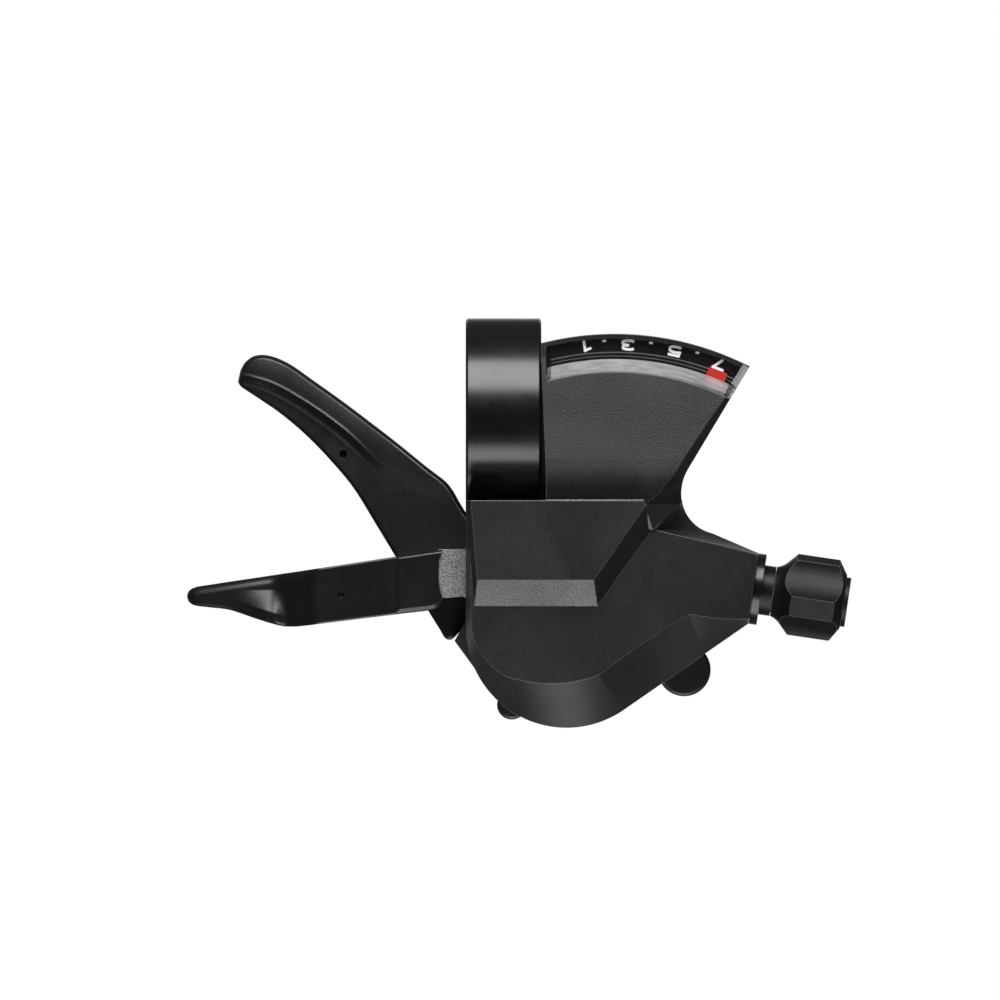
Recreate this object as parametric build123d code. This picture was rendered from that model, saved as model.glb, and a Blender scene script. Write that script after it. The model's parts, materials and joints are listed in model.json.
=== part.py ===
from build123d import *
import os
from math import acos, atan2, cos, degrees, hypot, radians, sin, tan

# Right-hand trigger gear shifter with a seven-position gear display, in millimetres.
# The origin is the centre of the handlebar clamp. +X runs along the bar towards the cable outlet,
# +Y points at the rider and +Z is up through the display. The rest position is seventh gear.

# Handlebar clamp
BAR_D = 22.2
BAND_WALL = 3.0
BAND_EDGE = 0.3
BAND_WIDTH = 10.8
CLAMP_SLIT = 1.6
EAR_T = 4.2
EAR_DROP = 3.4
CLAMP_BOLT_R = 2.5
CLAMP_HEAD_R = 4.2
CLAMP_HEAD_H = 4.6
CLAMP_KEY_AF = 4.0
CLAMP_NUT_AF = 8.0
CLAMP_NUT_T = 3.4

# Plan of the pod: a round end about the main axle, a straight side and the cable outlet
AXLE = (9.0, -30.0)
POD_R = 14.4
POD_BACK_Y = -11.9
WALL = 1.6
OUTLET = (35.7, -24.5)
OUTLET_TILT = -8.4
OUTLET_HALF = 5.1
NECK_CORNER = (29.8, -16.6)
NECK_X = 25.5
NECK_R = 5.6
CAVITY_END_X = 25.2
LIP_CORNER = (-7.0, -32.0)
LIP_END = (-1.0, -40.2)

# Levels
FLOOR_Z = -16.0
PARTING_Z = -4.0
RIM_Z = 6.6
FACE_Z = 13.5
PLATEAU_Z = 16.9
CABLE_Z = 4.4

# Creases of the upper face
FACE_INSET = 0.7
BEVEL_FRONT = 6.3
PLATEAU_FRONT_Y = -23.3
PLATEAU_SLOPE = 4.0
PLATEAU_RIGHT = 20.3
PLATEAU_TOE = 12.9
PLATEAU_SHOULDER = 0.9
CREASE_CORNER = (21.3, -16.1)
FACE_CROWN_X = 15.0
FACE_CROWN_R = 88.0

# Gear display: a fan about the needle pivot, its angles clockwise from +Y
DIAL = (15.9, -30.4)
FAN_R = 42.3
FAN_RIGHT_TOP = (34.8, 6.6)
FAN_RIGHT_FOOT = (25.5, -8.9)
FAN_BOTTOM_Z = 11.6
FAN_FACE_Z = 14.5
FAN_SKIN = 0.9
FAN_WALL = 0.6
FAN_EDGE_FOOT = 1.4
FAN_EDGE_TOP = 2.5
FAN_BEND = 1.7
FAN_LEFT_EDGE = 0.7
FAN_CROWN_Z = 16.5
FAN_ROLL_R = 40.0
FAN_FALL_DEG = 8.5
DISPLAY_BASE_T = 0.8
WINDOW_DEPTH = 5.4
LENS_LEDGE = 0.7
LENS_Z = 13.9
LENS_T = 1.4
LENS_BEVEL = 1.8
LENS_LIP = 0.4
LENS_LEFT = 0.9
LENS_END = 1.0
DIAL_INSET = 1.0
DIAL_T = 0.35
NEEDLE_Z = 12.9
NEEDLE_T = 0.5
NEEDLE_INSET = 2.4
NEEDLE_TIP_L = 2.2
NEEDLE_TIP_W = 2.8
NEEDLE_ARM_W = 1.8
NEEDLE_ROOT_Z = 7.2
NEEDLE_ROOT_T = 0.9
NEEDLE_POST_R = 14.0
NEEDLE_POST_DEG = -8.0
NEEDLE_PIN_R = 0.8
GEAR_7_DEG = 21.8
DISPLAY_SWEEP = 28.0

# Indexing train on the main axle
CLICK_DEG = 18.0
CLICKS = 6
AXLE_R = 2.5
AXLE_TOP_Z = 5.1
DRUM_Z = 0.8
DRUM_T = 5.2
DRUM_LIP = 1.1
HUB_R = 4.6
CABLE_R = 0.6
NIPPLE_R = 2.2
CRANK_R = 0.8
CRANK_H = 2.4
RIVET_R = 0.6
TOOTH_H = 1.6
RATCHET_T = 1.8
BRACKET_TOP_Z = -4.4
BRACKET_T = 2.0
WEB_T = 4.0
HOLD_DEG = 40.0
HOLD_PIVOT_DEG = -7.5
HOLD_LIFT_DEG = 14.0
DRIVE_DEG = 215.0
DRIVE_PIVOT_DEG = 175.0
DRIVE_LIFT_DEG = 16.0
PAWL_T = 1.6
PAWL_EYE_R = 1.8
PAWL_PIN_R = 1.0
PAWL_CLEAR = 0.5
PAWL_SHOULDER_R = 1.2
POST = (18.6, -18.4)
POST_R = 2.2
SCREW_R = 1.1

# Thumb lever, lowest on the axle
THUMB_PLATE_T = 2.0
THUMB_WASHER_T = 1.1
THUMB_SKIN = 0.6
THUMB_DROP = 7.2
THUMB_SLOT_DIP = 1.9
THUMB_DEG = 142.0
THUMB_RAMP = (16.5, 66.0)
THUMB_RIDGE = (34.0, 47.0)
THUMB_FLANGE = (24.0, 36.0)
THUMB_FLANGE_H = 7.0
THUMB_BEAD = 0.9
THUMB_GROOVE = 0.7
THUMB_HOLE = (-22.9, -5.3, 0.55, 1.2)
NUT_AF = 8.0
NUT_T = 2.7
WASHER_T = 0.8
WASHER_R = 4.6

# Release lever, above the ratchet
RELEASE_T = 1.8
RELEASE_ROOT_X = -9.3
RELEASE_ROOT_DROP = 0.6
RELEASE_ROOT_RISE = 1.0
RELEASE_SPRING_INSET = 2.3
RELEASE_CAP_TOP = 2.0
RELEASE_PAD_DROP = 4.2
RELEASE_PAD_Z = -8.6
RELEASE_STEP_X = -15.0
RELEASE_STEP = 0.25
RELEASE_DISH_R = 7.0
RELEASE_DIMPLE = (-23.2, -25.4, 0.5, 0.5)

# Cable adjuster, measured along the outlet's axis from the mouth of the cover
FLANGE_R = 5.1
FLANGE_T = 1.2
BUSH_R = 4.3
BUSH_L = 9.0
COLLAR_R = 3.55
COLLAR_NECK = 1.7
COLLAR_NOSE = 0.5
COLLAR_TAIL = 4.0
SEAT_DEPTH = 5.5
THREAD_R = 2.0
KNOB_R = 5.85
KNOB_FLARE = 2.8
KNOB_BARREL = 6.0
KNOB_CHAMFER = 1.3
KNOB_CHAMFER_R = 3.85
KNOB_TIP = 0.65
KNOB_TIP_R = 3.55
KNOB_SIDES = 4
KNOB_FACE_DEG = 61.0
KNOB_FACE_HOLLOW = 0.6
KNOB_TURN = -58.0
SOCKET_R = 2.55
SOCKET_DEPTH = 7.0
CABLE_HOLE_R = 0.9

# Screw bosses of the covers: centre, boss radius, underside, head radius, shank radius
BOSS_RIGHT = (25.8, -36.1, 3.8, -9.4, 2.2, 1.1)
BOSS_LEFT = (1.17, -41.13, 2.1, -6.7, 1.3, 0.8)
BOSS_TOP_Z = -0.8
SCREW_HEAD_H = 1.3

# Cable port in the side wall, in line with the outlet
PORT_R = 2.3

# Springs
WIRE = 0.5

# Clearances: seated faces, running faces, free sweep
FIT = 0.05
RUN = 0.1
GAP = 0.4

BAR_R = BAR_D / 2
BAND_R = BAR_R + BAND_WALL
HALF_BAND = BAND_WIDTH / 2
FAN_LEFT = HALF_BAND
SIDE_X = AXLE[0] - POD_R
CAVITY_R = POD_R - WALL
FACE_LEFT = SIDE_X + FACE_INSET
FACE_FRONT_Y = AXLE[1] - POD_R + BEVEL_FRONT
WINDOW_R = FAN_R - WINDOW_DEPTH
DIAL_R = WINDOW_R + DIAL_INSET
NEEDLE_TIP_R = FAN_R - NEEDLE_INSET
BRACKET_R = CAVITY_R - 1.5 * GAP
PAWL_ORBIT = CAVITY_R - PAWL_EYE_R - PAWL_CLEAR
RATCHET_TIP_R = PAWL_ORBIT - PAWL_EYE_R - PAWL_CLEAR
RATCHET_ROOT_R = RATCHET_TIP_R - TOOTH_H
RELEASE_RING_R = RATCHET_TIP_R - 2 * GAP
CEILING_Z = FACE_Z - WALL
BOLT_Z = -(BAND_R + EAR_DROP)
EAR_Y = CLAMP_SLIT / 2 + EAR_T
OUTLET_DIR = Vector(cos(radians(OUTLET_TILT)), sin(radians(OUTLET_TILT)), 0)
OUTLET_SIDE = Vector(-OUTLET_DIR.Y, OUTLET_DIR.X, 0)
DRUM_PITCH_R = (OUTLET[0] - AXLE[0]) * OUTLET_SIDE.X + (OUTLET[1] - AXLE[1]) * OUTLET_SIDE.Y
DRUM_SWEEP = CLICK_DEG * CLICKS
DIAL_OFFSET = hypot(DIAL[0] - AXLE[0], DIAL[1] - AXLE[1])
HALF_SWEEP = DISPLAY_SWEEP / 2
CRANK_OFFSET = DIAL_OFFSET * sin(radians(HALF_SWEEP)) / sin(radians(DRUM_SWEEP / 2 - HALF_SWEEP))
DIAL_BEARING = degrees(atan2(DIAL[1] - AXLE[1], DIAL[0] - AXLE[0]))
RATCHET_Z = BRACKET_TOP_Z + GAP
PAWL_Z = RATCHET_Z + RUN
HUB_Z = RATCHET_Z + RATCHET_T
RELEASE_Z = HUB_Z + 0.6
RELEASE_ROOT_LEVELS = (RELEASE_Z - RELEASE_ROOT_DROP, RELEASE_Z + RELEASE_T + RELEASE_ROOT_RISE)
RELEASE_SPOT = (2.6, -BAND_R - RELEASE_SPRING_INSET)
BRACKET_Z = BRACKET_TOP_Z - BRACKET_T
THUMB_TOP_Z = BRACKET_Z - THUMB_WASHER_T - RUN
THUMB_Z = THUMB_TOP_Z - THUMB_PLATE_T
NUT_TOP_Z = THUMB_Z - WASHER_T - RUN
NUT_Z = NUT_TOP_Z - NUT_T
SLOT_Z = (THUMB_Z - THUMB_SKIN - 0.3, THUMB_TOP_Z + THUMB_SKIN + 0.3)
FLOOR_TOP_Z = FLOOR_Z + WALL
KNOB_S = FLANGE_T + COLLAR_NECK
KNOB_END = KNOB_S + KNOB_FLARE + KNOB_BARREL + KNOB_CHAMFER + KNOB_TIP
OUTLET_PLANE = Plane(origin=(*OUTLET, CABLE_Z), x_dir=(0, 0, 1), z_dir=OUTLET_DIR)
FAR = 60.0


def cyl(radius, z0, z1, centre=(0, 0)):
    """Upright cylinder between two levels."""
    return Pos(centre[0], centre[1], (z0 + z1) / 2) * Cylinder(radius, z1 - z0)


def tube(outer, inner, z0, z1, centre=(0, 0)):
    """Upright ring between two levels."""
    return cyl(outer, z0, z1, centre) - cyl(inner, z0 - 1, z1 + 1, centre)


def box(x0, x1, y0, y1, z0, z1):
    """Box between two corners."""
    return Pos((x0 + x1) / 2, (y0 + y1) / 2, (z0 + z1) / 2) * Box(x1 - x0, y1 - y0, z1 - z0)


def prism(face, z0, z1):
    """Plan outline carried from one level to another."""
    return extrude(Pos(0, 0, z0) * face, z1 - z0)


def outline(*points):
    """Straight-sided plan face through the points."""
    return make_face(Polyline(*points, close=True))


def polar(centre, radius, angle):
    """Point at a radius and an angle from +X about a centre."""
    return (centre[0] + radius * cos(radians(angle)), centre[1] + radius * sin(radians(angle)))


HOLD_PIVOT = polar(AXLE, BRACKET_R, HOLD_PIVOT_DEG)
DRIVE_PIVOT = polar(AXLE, PAWL_ORBIT, DRIVE_PIVOT_DEG)


def dial_point(radius, clockwise):
    """Point of the display, by its radius and its angle clockwise from +Y about the needle pivot."""
    return polar(DIAL, radius, 90 - clockwise)


def sector(centre, inner, outer, start, end, z0, z1):
    """Part of an upright ring between two angles."""
    steps = [start + (end - start) * i / 8 for i in range(9)]
    wedge = outline(centre, *[polar(centre, outer * 1.2, a) for a in steps])
    return prism(wedge, z0, z1) & tube(outer, inner, z0, z1, centre)


def strip(start, end, width):
    """Plan face of a straight bar between two points."""
    run = Vector(end[0] - start[0], end[1] - start[1]).normalized() * (width / 2)
    a, b = Vector(*start), Vector(*end)
    side = Vector(-run.Y, run.X)
    corners = (a + side, b + side, b - side, a - side)
    return outline(*[(p.X, p.Y) for p in corners])


def turned(solid, centre, angle):
    """Solid turned about an upright axis through a plan point."""
    return Pos(*centre, 0) * Rot(0, 0, angle) * Pos(-centre[0], -centre[1], 0) * solid


def along_bar(radius, x0, x1):
    """Cylinder about the bar's axis."""
    return Pos((x0 + x1) / 2, 0, 0) * Rot(0, 90, 0) * Cylinder(radius, x1 - x0)


def across_bar(shape, y):
    """Plan shape stood up across the bar at the clamp bolt, facing +Y."""
    return Plane(origin=(0, y, BOLT_Z), x_dir=(-1, 0, 0), z_dir=(0, 1, 0)) * shape


def outlet_cyl(radius, s0, s1):
    """Cylinder on the cable outlet's axis."""
    return OUTLET_PLANE * Pos(0, 0, (s0 + s1) / 2) * Cylinder(radius, s1 - s0)


def outlet_corner(side):
    """Plan corner of the cover's mouth: +1 on the rider's side, -1 at the front."""
    return (OUTLET[0] + side * OUTLET_HALF * OUTLET_SIDE.X, OUTLET[1] + side * OUTLET_HALF * OUTLET_SIDE.Y)


def coil(radius, z0, z1, turns, wire, centre):
    """Square-wire coil spring standing between two levels."""
    rise = z1 - z0 - wire
    path = Helix(pitch=rise / turns, height=rise, radius=radius)
    section = Plane(origin=path @ 0, x_dir=(1, 0, 0), z_dir=path % 0) * Rectangle(wire, wire)
    return Pos(*centre, z0 + wire / 2) * sweep(section, path=path, is_frenet=True)


def pod_rim():
    """Plan of the pod at its widest: straight side, round end, front wall, mouth and hollow neck."""
    front, rear = outlet_corner(-1), outlet_corner(1)
    bearing = degrees(atan2(front[1] - AXLE[1], front[0] - AXLE[0]))
    span = hypot(front[0] - AXLE[0], front[1] - AXLE[1])
    tangent = polar(AXLE, POD_R, bearing - degrees(acos(POD_R / span)))
    low = polar(AXLE, POD_R, 225)
    bend = (0.35 * tangent[0] + 0.65 * front[0], 0.35 * tangent[1] + 0.65 * front[1])
    return make_face([
        Line((SIDE_X, POD_BACK_Y), (SIDE_X, AXLE[1])),
        RadiusArc((SIDE_X, AXLE[1]), low, -POD_R),
        RadiusArc(low, tangent, -POD_R),
        Line(tangent, bend),
        Line(bend, front),
        Line(front, rear),
        Line(rear, NECK_CORNER),
        RadiusArc(NECK_CORNER, (NECK_X, POD_BACK_Y), NECK_R),
        Line((NECK_X, POD_BACK_Y), (SIDE_X, POD_BACK_Y)),
    ])


def pod_face():
    """Plan of the flat upper face, inside the bevel that falls to the rim."""
    front, rear = outlet_corner(-1), outlet_corner(1)
    left = (FACE_LEFT, AXLE[1] + 1.0)
    low = (FACE_LEFT + 4.9, FACE_FRONT_Y + 1.1)
    toe = (AXLE[0] + 4.6, FACE_FRONT_Y + 1.2)
    bend = (AXLE[0] + 17.2, AXLE[1] + 2.5)
    mouth_front = (front[0], front[1] + 1.0)
    mouth_rear = (rear[0], rear[1] - 0.4)
    return make_face([
        Line((FACE_LEFT, POD_BACK_Y), left),
        ThreePointArc(left, (FACE_LEFT + 1.6, AXLE[1] - 4.0), low),
        ThreePointArc(low, (AXLE[0] - 1.6, FACE_FRONT_Y), toe),
        Line(toe, bend),
        Line(bend, mouth_front),
        Line(mouth_front, mouth_rear),
        Line(mouth_rear, CREASE_CORNER),
        Line(CREASE_CORNER, (NECK_X - 0.6, POD_BACK_Y)),
        Line((NECK_X - 0.6, POD_BACK_Y), (FACE_LEFT, POD_BACK_Y)),
    ])


def plateau():
    """Raised block behind the display, with a sloping front and a raked right side."""
    slope_y = PLATEAU_FRONT_Y - PLATEAU_SLOPE
    top = outline(
        (FACE_LEFT, POD_BACK_Y), (FACE_LEFT + PLATEAU_SHOULDER, PLATEAU_FRONT_Y),
        (PLATEAU_TOE, PLATEAU_FRONT_Y), (PLATEAU_RIGHT, POD_BACK_Y - 0.8), (PLATEAU_RIGHT - 0.5, POD_BACK_Y),
    )
    foot = outline(
        (SIDE_X, POD_BACK_Y), (SIDE_X + PLATEAU_SHOULDER + 0.3, slope_y), (PLATEAU_TOE + 0.6, slope_y),
        CREASE_CORNER, (CREASE_CORNER[0] + 1.4, POD_BACK_Y),
    )
    return loft([Pos(0, 0, FACE_Z - 0.3) * foot, Pos(0, 0, PLATEAU_Z) * top], ruled=True)


def fan_rake():
    """Direction of the display's raked right side, from its foot outwards."""
    return Vector(FAN_RIGHT_TOP[0] - FAN_RIGHT_FOOT[0], FAN_RIGHT_TOP[1] - FAN_RIGHT_FOOT[1]).normalized()


def fan_plan(inset=0.0, foot_y=POD_BACK_Y - 1.0):
    """Plan of the display: a straight left side, an arc about the needle pivot and a raked right side."""
    rake = fan_rake()
    shift = Vector(-rake.Y, rake.X) * inset
    top = Vector(*FAN_RIGHT_TOP) + shift + rake * 8
    foot = Vector(*FAN_RIGHT_FOOT) + shift
    left = FAN_LEFT + inset
    window = outline((left, foot_y), (foot.X, foot_y), (foot.X, foot.Y), (top.X, top.Y), (left, top.Y))
    return (Pos(*DIAL) * Circle(FAN_R - inset)) & window


def fan_rim(rise):
    """Plan of the display's body at its foot (rise 0) or its face (rise 1), inside bevelled sides."""
    rake = fan_rake()
    aside = Vector(-rake.Y, rake.X) * rise
    foot = Vector(*FAN_RIGHT_FOOT) + aside * FAN_EDGE_FOOT
    radius = FAN_R - 0.3 * rise
    left = FAN_LEFT + FAN_LEFT_EDGE * rise
    top_left = (left, DIAL[1] + (radius ** 2 - (left - DIAL[0]) ** 2) ** 0.5)
    edge = (Vector(*FAN_RIGHT_TOP) + aside * FAN_EDGE_TOP - foot).normalized()
    reach = foot - Vector(*DIAL)
    along = reach.dot(edge)
    run = (along ** 2 - reach.length ** 2 + radius ** 2) ** 0.5 - along
    top_right = foot + edge * run
    bend = foot + edge * FAN_BEND
    crown = (DIAL[0], DIAL[1] + radius)
    knee = Vector(NECK_X, POD_BACK_Y - 0.3) + Vector(-4.9, 0.0) * rise
    heel = Vector(*CREASE_CORNER) + Vector(-1.0, 3.2) * rise
    start = (left, POD_BACK_Y - 1.0)
    return make_face([
        Line(start, top_left),
        ThreePointArc(top_left, crown, (top_right.X, top_right.Y)),
        Line((top_right.X, top_right.Y), (bend.X, bend.Y)),
        TangentArc((bend.X, bend.Y), (knee.X, knee.Y), tangent=(-edge.X, -edge.Y)),
        Line((knee.X, knee.Y), (heel.X, heel.Y)),
        Line((heel.X, heel.Y), start),
    ])


def fan_body():
    """Display body: upright foot, bevelled sides and a face that rolls down from the plateau."""
    roll_centre = (POD_BACK_Y, FAN_CROWN_Z - FAN_ROLL_R)
    start = polar(roll_centre, FAN_ROLL_R, 90)
    middle = polar(roll_centre, FAN_ROLL_R, 90 - FAN_FALL_DEG / 2)
    end = polar(roll_centre, FAN_ROLL_R, 90 - FAN_FALL_DEG)
    far = (FAR, end[1] - (FAR - end[0]) * tan(radians(FAN_FALL_DEG)))
    side = make_face([
        Line((-FAR, start[1]), start), ThreePointArc(start, middle, end), Line(end, far),
        Line(far, (FAR, -FAR)), Line((FAR, -FAR), (-FAR, -FAR)), Line((-FAR, -FAR), (-FAR, start[1])),
    ])
    upper = loft([Pos(0, 0, LENS_Z) * fan_rim(0), Pos(0, 0, FAN_CROWN_Z) * fan_rim(1)], ruled=True)
    upper &= extrude(Plane.YZ * side, 2 * FAR, both=True)
    return prism(fan_rim(0), FAN_BOTTOM_Z, LENS_Z) + upper


def fan_band(inner, inset, z0, z1):
    """Part of the display beyond a radius."""
    return prism(fan_plan(inset), z0, z1) - cyl(inner, z0 - 1, z1 + 1, DIAL)


def lens_room(inner, inset, left, top):
    """Room of the lens: the display beyond a radius and right of a line, from the lens's seat upwards."""
    return fan_band(inner, inset, LENS_Z, top) & box(left, FAR, -FAR, FAR, LENS_Z, top)


def slanted_cut(x0, z0, x1, z1, up):
    """Room beyond a plane through two points of the XZ plane, above it or below it."""
    reach = FAR if up else -FAR
    slope = (z1 - z0) / (x1 - x0)
    end_z = z1 + slope * FAR
    profile = Plane.XZ * outline((x0, z0), (x1 + FAR, end_z), (x1 + FAR, end_z + reach), (x0, z0 + reach))
    return extrude(profile, 2 * FAR, both=True)


def release_slot():
    """Opening in the side wall for the release lever's swing."""
    return box(SIDE_X - 2, SIDE_X + WALL + 4, -27.4, -13.2, PARTING_Z - 1, RELEASE_Z + RELEASE_T + 1.4)


def clamp_clearance():
    """Room for the clamp band and the web that joins it to the bracket plate."""
    band = along_bar(BAND_R + GAP / 2, -HALF_BAND - 3, HALF_BAND)
    web = box(-HALF_BAND, HALF_BAND - GAP, -18, -9, BRACKET_Z - RUN, BRACKET_Z + WEB_T + RUN)
    return band + web


def make_clamp_bracket():
    """Clamp band with its ears, and the plate inside the pod that carries the axle and the pawl."""
    band = along_bar(BAND_R, -HALF_BAND, HALF_BAND)
    band = chamfer(band.edges().filter_by(GeomType.CIRCLE), BAND_EDGE)
    ears = box(-HALF_BAND, HALF_BAND, -EAR_Y, EAR_Y, BOLT_Z, -BAR_R)
    ears += across_bar(Pos(0, 0, 0) * Cylinder(HALF_BAND, 2 * EAR_Y), 0)
    left, right = SIDE_X + WALL + GAP, HALF_BAND - 2 * GAP
    web = box(left, right, AXLE[1] + 10, -BAR_R - 1, BRACKET_Z, BRACKET_Z + WEB_T)
    plan = Pos(*AXLE) * Circle(BRACKET_R) + Pos(*HOLD_PIVOT) * Circle(PAWL_EYE_R + 0.5)
    plan += Pos(*POST) * Circle(POST_R + 0.6) + strip(AXLE, POST, 8.0)
    plan += outline((left, -14), (left, AXLE[1]), AXLE, (right + 4, -22), (right, -14))
    plate = prism(plan, BRACKET_Z, BRACKET_TOP_Z)
    plate -= sector(AXLE, RATCHET_TIP_R + 0.3, 2 * POD_R, 158, 244, BRACKET_Z - 1, BRACKET_TOP_Z + 1)
    plate -= cyl(BOSS_LEFT[2] + GAP, BRACKET_Z - 1, BRACKET_TOP_Z + 1, BOSS_LEFT)
    plate -= cyl(AXLE_R + FIT, BRACKET_Z - 1, BRACKET_TOP_Z + 1, AXLE)
    plate -= cyl(PAWL_PIN_R + FIT, BRACKET_Z - 1, BRACKET_TOP_Z + 1, HOLD_PIVOT)
    plate -= cyl(SCREW_R + FIT, BRACKET_Z - 1, BRACKET_TOP_Z + 1, POST)
    body = band + ears + web + plate
    body -= along_bar(BAR_R, -FAR, FAR)
    body -= box(-FAR, FAR, -CLAMP_SLIT / 2, CLAMP_SLIT / 2, -FAR, 0)
    body -= across_bar(Cylinder(CLAMP_BOLT_R + FIT, 4 * EAR_Y), 0)
    return body


def make_clamp_bolt():
    """Socket-head bolt across the clamp's ears."""
    end = -EAR_Y - CLAMP_NUT_T - 1.2
    shank = across_bar(Pos(0, 0, (EAR_Y - end) / 2) * Cylinder(CLAMP_BOLT_R, EAR_Y - end), end)
    head = across_bar(Pos(0, 0, CLAMP_HEAD_H / 2) * Cylinder(CLAMP_HEAD_R, CLAMP_HEAD_H), EAR_Y)
    head = chamfer(head.edges().group_by(Axis.Y)[-1], 0.5)
    key = extrude(across_bar(RegularPolygon(CLAMP_KEY_AF / 2, 6, major_radius=False), EAR_Y + 1.8), 4)
    return shank + head - key


def make_clamp_nut():
    """Hexagon nut on the front ear."""
    face = across_bar(RegularPolygon(CLAMP_NUT_AF / 2, 6, major_radius=False), -EAR_Y - CLAMP_NUT_T)
    return extrude(face, CLAMP_NUT_T) - across_bar(Cylinder(CLAMP_BOLT_R + FIT, 6 * EAR_Y), 0)


def make_top_cover():
    """Top moulding: bevelled pod, raised plateau, display fan and tapered cable outlet."""
    shell = loft([Pos(0, 0, RIM_Z) * pod_rim(), Pos(0, 0, FACE_Z) * pod_face()], ruled=True)
    shell += prism(pod_rim(), PARTING_Z, RIM_Z)
    crown = Pos(FACE_CROWN_X, 0, FACE_Z - FACE_CROWN_R) * Rot(90, 0, 0) * Cylinder(FACE_CROWN_R, 4 * FAR)
    shell &= crown + box(-FAR, FACE_CROWN_X, -FAR, FAR, -FAR, FAR)
    shell += plateau() + fan_body()
    shell -= slanted_cut(CAVITY_END_X + 2, PARTING_Z, OUTLET[0], CABLE_Z - FLANGE_R - 0.2, up=False)
    lower = offset(pod_rim(), amount=-WALL) & outline(
        (-FAR, -FAR), (CAVITY_END_X, -FAR), (CAVITY_END_X, FAR), (-FAR, FAR))
    upper = offset(pod_face(), amount=-1.0) & outline(
        (-FAR, -FAR), (CAVITY_END_X - 3, -FAR), (CAVITY_END_X - 3, FAR), (-FAR, FAR))
    shell -= prism(lower, PARTING_Z - 1, RIM_Z + 0.1)
    shell -= prism(upper, RIM_Z, CEILING_Z)
    loft_room = outline(
        (FACE_LEFT + 1.4, POD_BACK_Y - 1.5), (FACE_LEFT + 1.4, PLATEAU_FRONT_Y + 0.9),
        (PLATEAU_TOE - 0.9, PLATEAU_FRONT_Y + 0.9), (PLATEAU_RIGHT - 2.2, POD_BACK_Y - 1.5))
    shell -= prism(loft_room, RIM_Z, PLATEAU_Z - WALL)
    for x, y, radius, _, _, shank in (BOSS_RIGHT, BOSS_LEFT):
        boss = fillet(cyl(radius, PARTING_Z, BOSS_TOP_Z, (x, y)).edges().group_by(Axis.Z)[-1], 0.5)
        inner = cyl(CAVITY_R, PARTING_Z - 1, BOSS_TOP_Z + 1, AXLE)
        shell += boss - inner
        shell -= cyl(shank + FIT, PARTING_Z - 1, BOSS_TOP_Z - 0.8, (x, y))
    shell += cyl(POST_R, BRACKET_TOP_Z + FIT, CEILING_Z + 0.2, POST)
    shell -= cyl(SCREW_R + FIT, BRACKET_TOP_Z - 1, 1.0, POST)
    shell += cyl(1.7, NEEDLE_ROOT_Z + NEEDLE_ROOT_T + FIT, CEILING_Z + 0.2, DIAL)
    shell -= cyl(NEEDLE_PIN_R + FIT / 2, NEEDLE_ROOT_Z, CEILING_Z + 0.4, DIAL)
    room = fan_plan(FAN_WALL, POD_BACK_Y)
    shell -= prism(room, FAN_BOTTOM_Z - 1, FAN_FACE_Z - FAN_SKIN)
    floor_z = FAN_BOTTOM_Z + DISPLAY_BASE_T
    passage = (floor_z, FAN_FACE_Z - FAN_SKIN)
    shell -= box(FAN_LEFT + 1.2, PLATEAU_RIGHT - 1.2, POD_BACK_Y - 2, POD_BACK_Y + 1, *passage)
    shell -= fan_band(WINDOW_R + LENS_LEDGE, FAN_WALL, FAN_BOTTOM_Z, PLATEAU_Z)
    shell -= lens_room(WINDOW_R - FIT, -1.0, FAN_LEFT + LENS_LEFT - FIT, PLATEAU_Z)
    shell -= clamp_clearance()
    shell -= release_slot()
    shell -= port_cyl(PORT_R + FIT, SIDE_X - 1, SIDE_X + WALL + 1)
    shell -= outlet_cyl(BUSH_R + FIT, -BUSH_L - FIT, 5) + outlet_cyl(2 * CABLE_R, -BUSH_L - 9, 0)
    return shell


def make_bottom_cover():
    """Bottom moulding: pan under the axle, open at the side for the thumb lever's sweep."""
    plan = pod_rim() + outline((SIDE_X, AXLE[1] + 1), LIP_CORNER, LIP_END, AXLE)
    pan = prism(plan, FLOOR_Z, PARTING_Z)
    hollow = offset(pod_rim(), amount=-WALL) & outline(
        (-FAR, -FAR), (CAVITY_END_X, -FAR), (CAVITY_END_X, FAR), (-FAR, FAR))
    pan -= slanted_cut(CAVITY_END_X - 9, FLOOR_Z, OUTLET[0] - 3, PARTING_Z - 0.6, up=False)
    room = prism(hollow, FLOOR_TOP_Z, PARTING_Z + 1)
    room -= slanted_cut(CAVITY_END_X - 9, FLOOR_TOP_Z, OUTLET[0] - 3, PARTING_Z - 0.6 + WALL, up=False)
    pan -= room
    pan -= box(OUTLET[0] - 4, FAR, -FAR, FAR, FLOOR_Z - 1, PARTING_Z + 1)
    pan += tube(6.4, 5.0, FLOOR_TOP_Z - 0.2, NUT_Z - FIT, AXLE)
    for x, y, radius, underside, head, shank in (BOSS_RIGHT, BOSS_LEFT):
        boss = cyl(radius, underside, PARTING_Z, (x, y))
        pan += boss - cyl(CAVITY_R, FLOOR_Z, PARTING_Z + 1, AXLE)
        pan -= cyl(shank + FIT, underside - 1, PARTING_Z + 1, (x, y))
        pan -= cyl(head + FIT, FLOOR_Z - 1, underside + SCREW_HEAD_H, (x, y))
    pan -= sector(AXLE, HUB_R, 3 * POD_R, 122, 262, *SLOT_Z)
    side = (SIDE_X - 1, SIDE_X + WALL + 1, AXLE[1] + 2, POD_BACK_Y + 1)
    pan -= box(*side, SLOT_Z[0] - THUMB_SLOT_DIP, SLOT_Z[1])
    return pan - clamp_clearance()


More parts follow.
